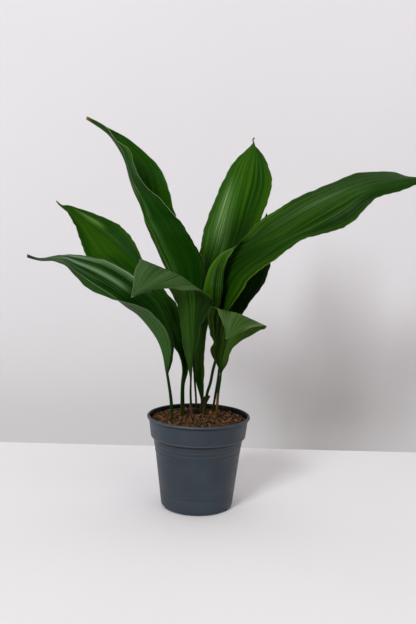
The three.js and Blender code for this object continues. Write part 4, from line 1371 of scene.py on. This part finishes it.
def scale_finish(name, dark, pale, foot):
    material, tree, shader = new_finish(name)
    along = attribute(tree, "along")
    place = {0: times(tree, attribute(tree, "across"), 9.0), 1: times(tree, along, 3.0)}
    vector = add_node(tree, "ShaderNodeCombineXYZ", place).outputs[0]
    fibres = noise(tree, vector, 1.0, 4.0, 0.7)
    colour = mixed(tree, ranged(tree, fibres, 0.3, 0.72), linear(*dark), linear(*pale))
    low = times(tree, ranged(tree, along, 0.75, 0.3), 0.7)
    colour = mixed(tree, low, colour, linear(*foot))
    normal = bumped(tree, fibres, 0.0007, 0.9)
    wire(tree, shader, Base_Color=colour, Roughness=0.85, Normal=normal, Specular_IOR_Level=0.3)
    return material


def add_scales():
    rng = np.random.default_rng(SEED + 2)
    for node, rows in SCALES.items():
        t = np.linspace(0, 1, SCALE_ROWS)
        rails = [smooth_rail([row[i] for row in rows], t) for i in range(3)]
        s = np.linspace(-1, 1, SCALE_COLUMNS)
        near, far = np.clip(-s, 0, 1), np.clip(s, 0, 1)
        bend = 1 - near - far
        places = sum(rail[:, None] * share[:, None] for rail, share in zip(rails, (near, bend, far)))
        tatters = waves(rng, TATTER_COUNTS, s)
        places[:, :, 2] += (smoothstep(t, 0.75, 1)[:, None] * tatters[None, :]) * TATTER_HEIGHT
        buckles = BUCKLE_HEIGHT * waves(rng, BUCKLE_COUNTS, s)[None, :] * t[:, None]
        places = places + grid_normals(places) * buckles[..., None]
        half = np.full(places.shape[:2], SCALE_THICKNESS / 2)
        values = {"across": np.tile(s, (len(t), 1)), "along": np.tile(t[:, None], (1, len(s)))}
        piece = slab(f"{node}_dried", places, half, half, values)
        piece.data.materials.append(scale_finish(f"{node}_brown", *SCALE_LOOKS[node]))
        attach(piece, "root")
        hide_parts(node)


RHIZOME_DARK, RHIZOME_PALE = (118, 98, 62), (176, 156, 112)


def finish_rhizome():
    """The stem under the soil keeps its solid and gets a ringed tan skin."""
    material, tree, shader = new_finish("rhizome_skin")
    rings = noise(tree, stretched(tree, object_place(tree), (6.0, 6.0, 1.0)), 90.0, 3.0)
    colour = mixed(tree, ranged(tree, rings, 0.35, 0.7), linear(*RHIZOME_DARK), linear(*RHIZOME_PALE))
    normal = bumped(tree, rings, 0.0006, 0.7)
    wire(tree, shader, Base_Color=colour, Roughness=0.8, Normal=normal)
    rhizome = frame["nodes"]["rhizome"]
    rhizome.data.materials.clear()
    rhizome.data.materials.append(material)


# Surroundings: a pale cloth-covered table and a pale wall behind it
TABLE_LEVEL = -0.2
TABLE_BACK = 284
WALL_BACK = 520
WALL_BOTTOM = -900
STAGE_REACH = 3000
TABLE_COLOUR, WALL_COLOUR = (246, 245, 247), (226, 224, 227)
PLANT_MIDDLE = (0, 50, 250)
# Each light's azimuth, elevation, distance in metres, width in metres, power and colour
LIGHTS = {
    "window": (-27, 25, 6, 1.5, 238, (0.965, 0.978, 1.0)),
    "ceiling": (0, 80, 1.9, 2.0, 6.5, (1.0, 0.97, 0.95)),
    "room_right": (30, 52, 2.4, 1.2, 5, (1.0, 0.97, 0.95)),
}
ROOM_COLOUR, ROOM_STRENGTH = (1.0, 0.935, 0.87, 1), 0.3


def stage_plane(name, start, end, material):
    """A plane between two opposite corners, level from left to right."""
    (left, y0, z0), (right, y1, z1) = start, end
    corners = [(left, y0, z0), (right, y0, z0), (right, y1, z1), (left, y1, z1)]
    plane = mesh_object(name, corners, [[0, 1, 2, 3]])
    plane.data.materials.append(material)


def plain_finish(name, colour, roughness):
    material, tree, shader = new_finish(name)
    soft = noise(tree, object_place(tree), 2.0, 2.0)
    dim = tuple(0.965 * c for c in colour)
    wire(tree, shader, Base_Color=mixed(tree, soft, linear(*dim), linear(*colour)), Roughness=roughness)
    wire(tree, shader, Specular_IOR_Level=0.1)
    return material


def open_from_behind(material):
    """Leaves the far side of a piece clear, so that a camera behind the wall sees the plant."""
    tree = material.node_tree
    nodes = {node.type: node for node in tree.nodes}
    side = tree.nodes.new("ShaderNodeNewGeometry")
    clear = tree.nodes.new("ShaderNodeBsdfTransparent")
    mix = tree.nodes.new("ShaderNodeMixShader")
    tree.links.new(side.outputs["Backfacing"], mix.inputs["Fac"])
    tree.links.new(nodes["BSDF_PRINCIPLED"].outputs["BSDF"], mix.inputs[1])
    tree.links.new(clear.outputs["BSDF"], mix.inputs[2])
    tree.links.new(mix.outputs["Shader"], nodes["OUTPUT_MATERIAL"].inputs["Surface"])


def add_stage():
    reach = STAGE_REACH
    table = plain_finish("table_cloth_white", TABLE_COLOUR, 0.9)
    wall = plain_finish("wall_pale", WALL_COLOUR, 0.95)
    open_from_behind(wall)
    stage_plane("table", (-reach, -reach, TABLE_LEVEL), (reach, TABLE_BACK, TABLE_LEVEL), table)
    stage_plane("wall", (-reach, WALL_BACK, WALL_BOTTOM), (reach, WALL_BACK, reach), wall)


def place_round(azimuth, elevation, distance):
    """A place at that distance from the plant's middle; azimuth 0 is in front, positive to the right."""
    turn, rise = math.radians(azimuth), math.radians(elevation)
    reach = distance * math.cos(rise)
    middle = Vector(PLANT_MIDDLE) * MM
    return middle + Vector((reach * math.sin(turn), -reach * math.cos(turn), distance * math.sin(rise)))


def add_lights():
    for name, (azimuth, elevation, distance, width, power, colour) in LIGHTS.items():
        data = bpy.data.lights.new(name, "AREA")
        data.shape = "SQUARE"
        data.size = width
        data.energy = power
        data.color = colour
        light = linked(bpy.data.objects.new(name, data))
        light.location = place_round(azimuth, elevation, distance)
        aim = Vector(PLANT_MIDDLE) * MM - light.location
        light.rotation_euler = aim.to_track_quat("-Z", "Y").to_euler()
    world = bpy.data.worlds.new("room")
    world.use_nodes = True
    background = world.node_tree.nodes["Background"]
    background.inputs["Color"].default_value = ROOM_COLOUR
    background.inputs["Strength"].default_value = ROOM_STRENGTH
    bpy.context.scene.world = world


def add_camera():
    data = bpy.data.cameras.new("camera")
    data.sensor_fit = "AUTO"
    data.sensor_width = SENSOR_WIDTH
    data.lens = FOCAL_PIXELS / PHOTO_HEIGHT * data.sensor_width
    data.clip_start, data.clip_end = 0.05, 20
    camera = linked(bpy.data.objects.new("camera", data))
    pitch = Matrix.Rotation(math.radians(90 - CAMERA_PITCH), 4, "X")
    roll = Matrix.Rotation(math.radians(CAMERA_ROLL), 4, "Z")
    camera.matrix_world = Matrix.Translation(Vector(CAMERA_PLACE) * MM) @ pitch @ roll
    bpy.context.scene.camera = camera
    bpy.context.scene.view_settings.view_transform = "Standard"


add_camera()
add_stage()
add_lights()
add_pot()
add_soil_and_crumbs()
finish_rhizome()
add_leaves()
add_scales()
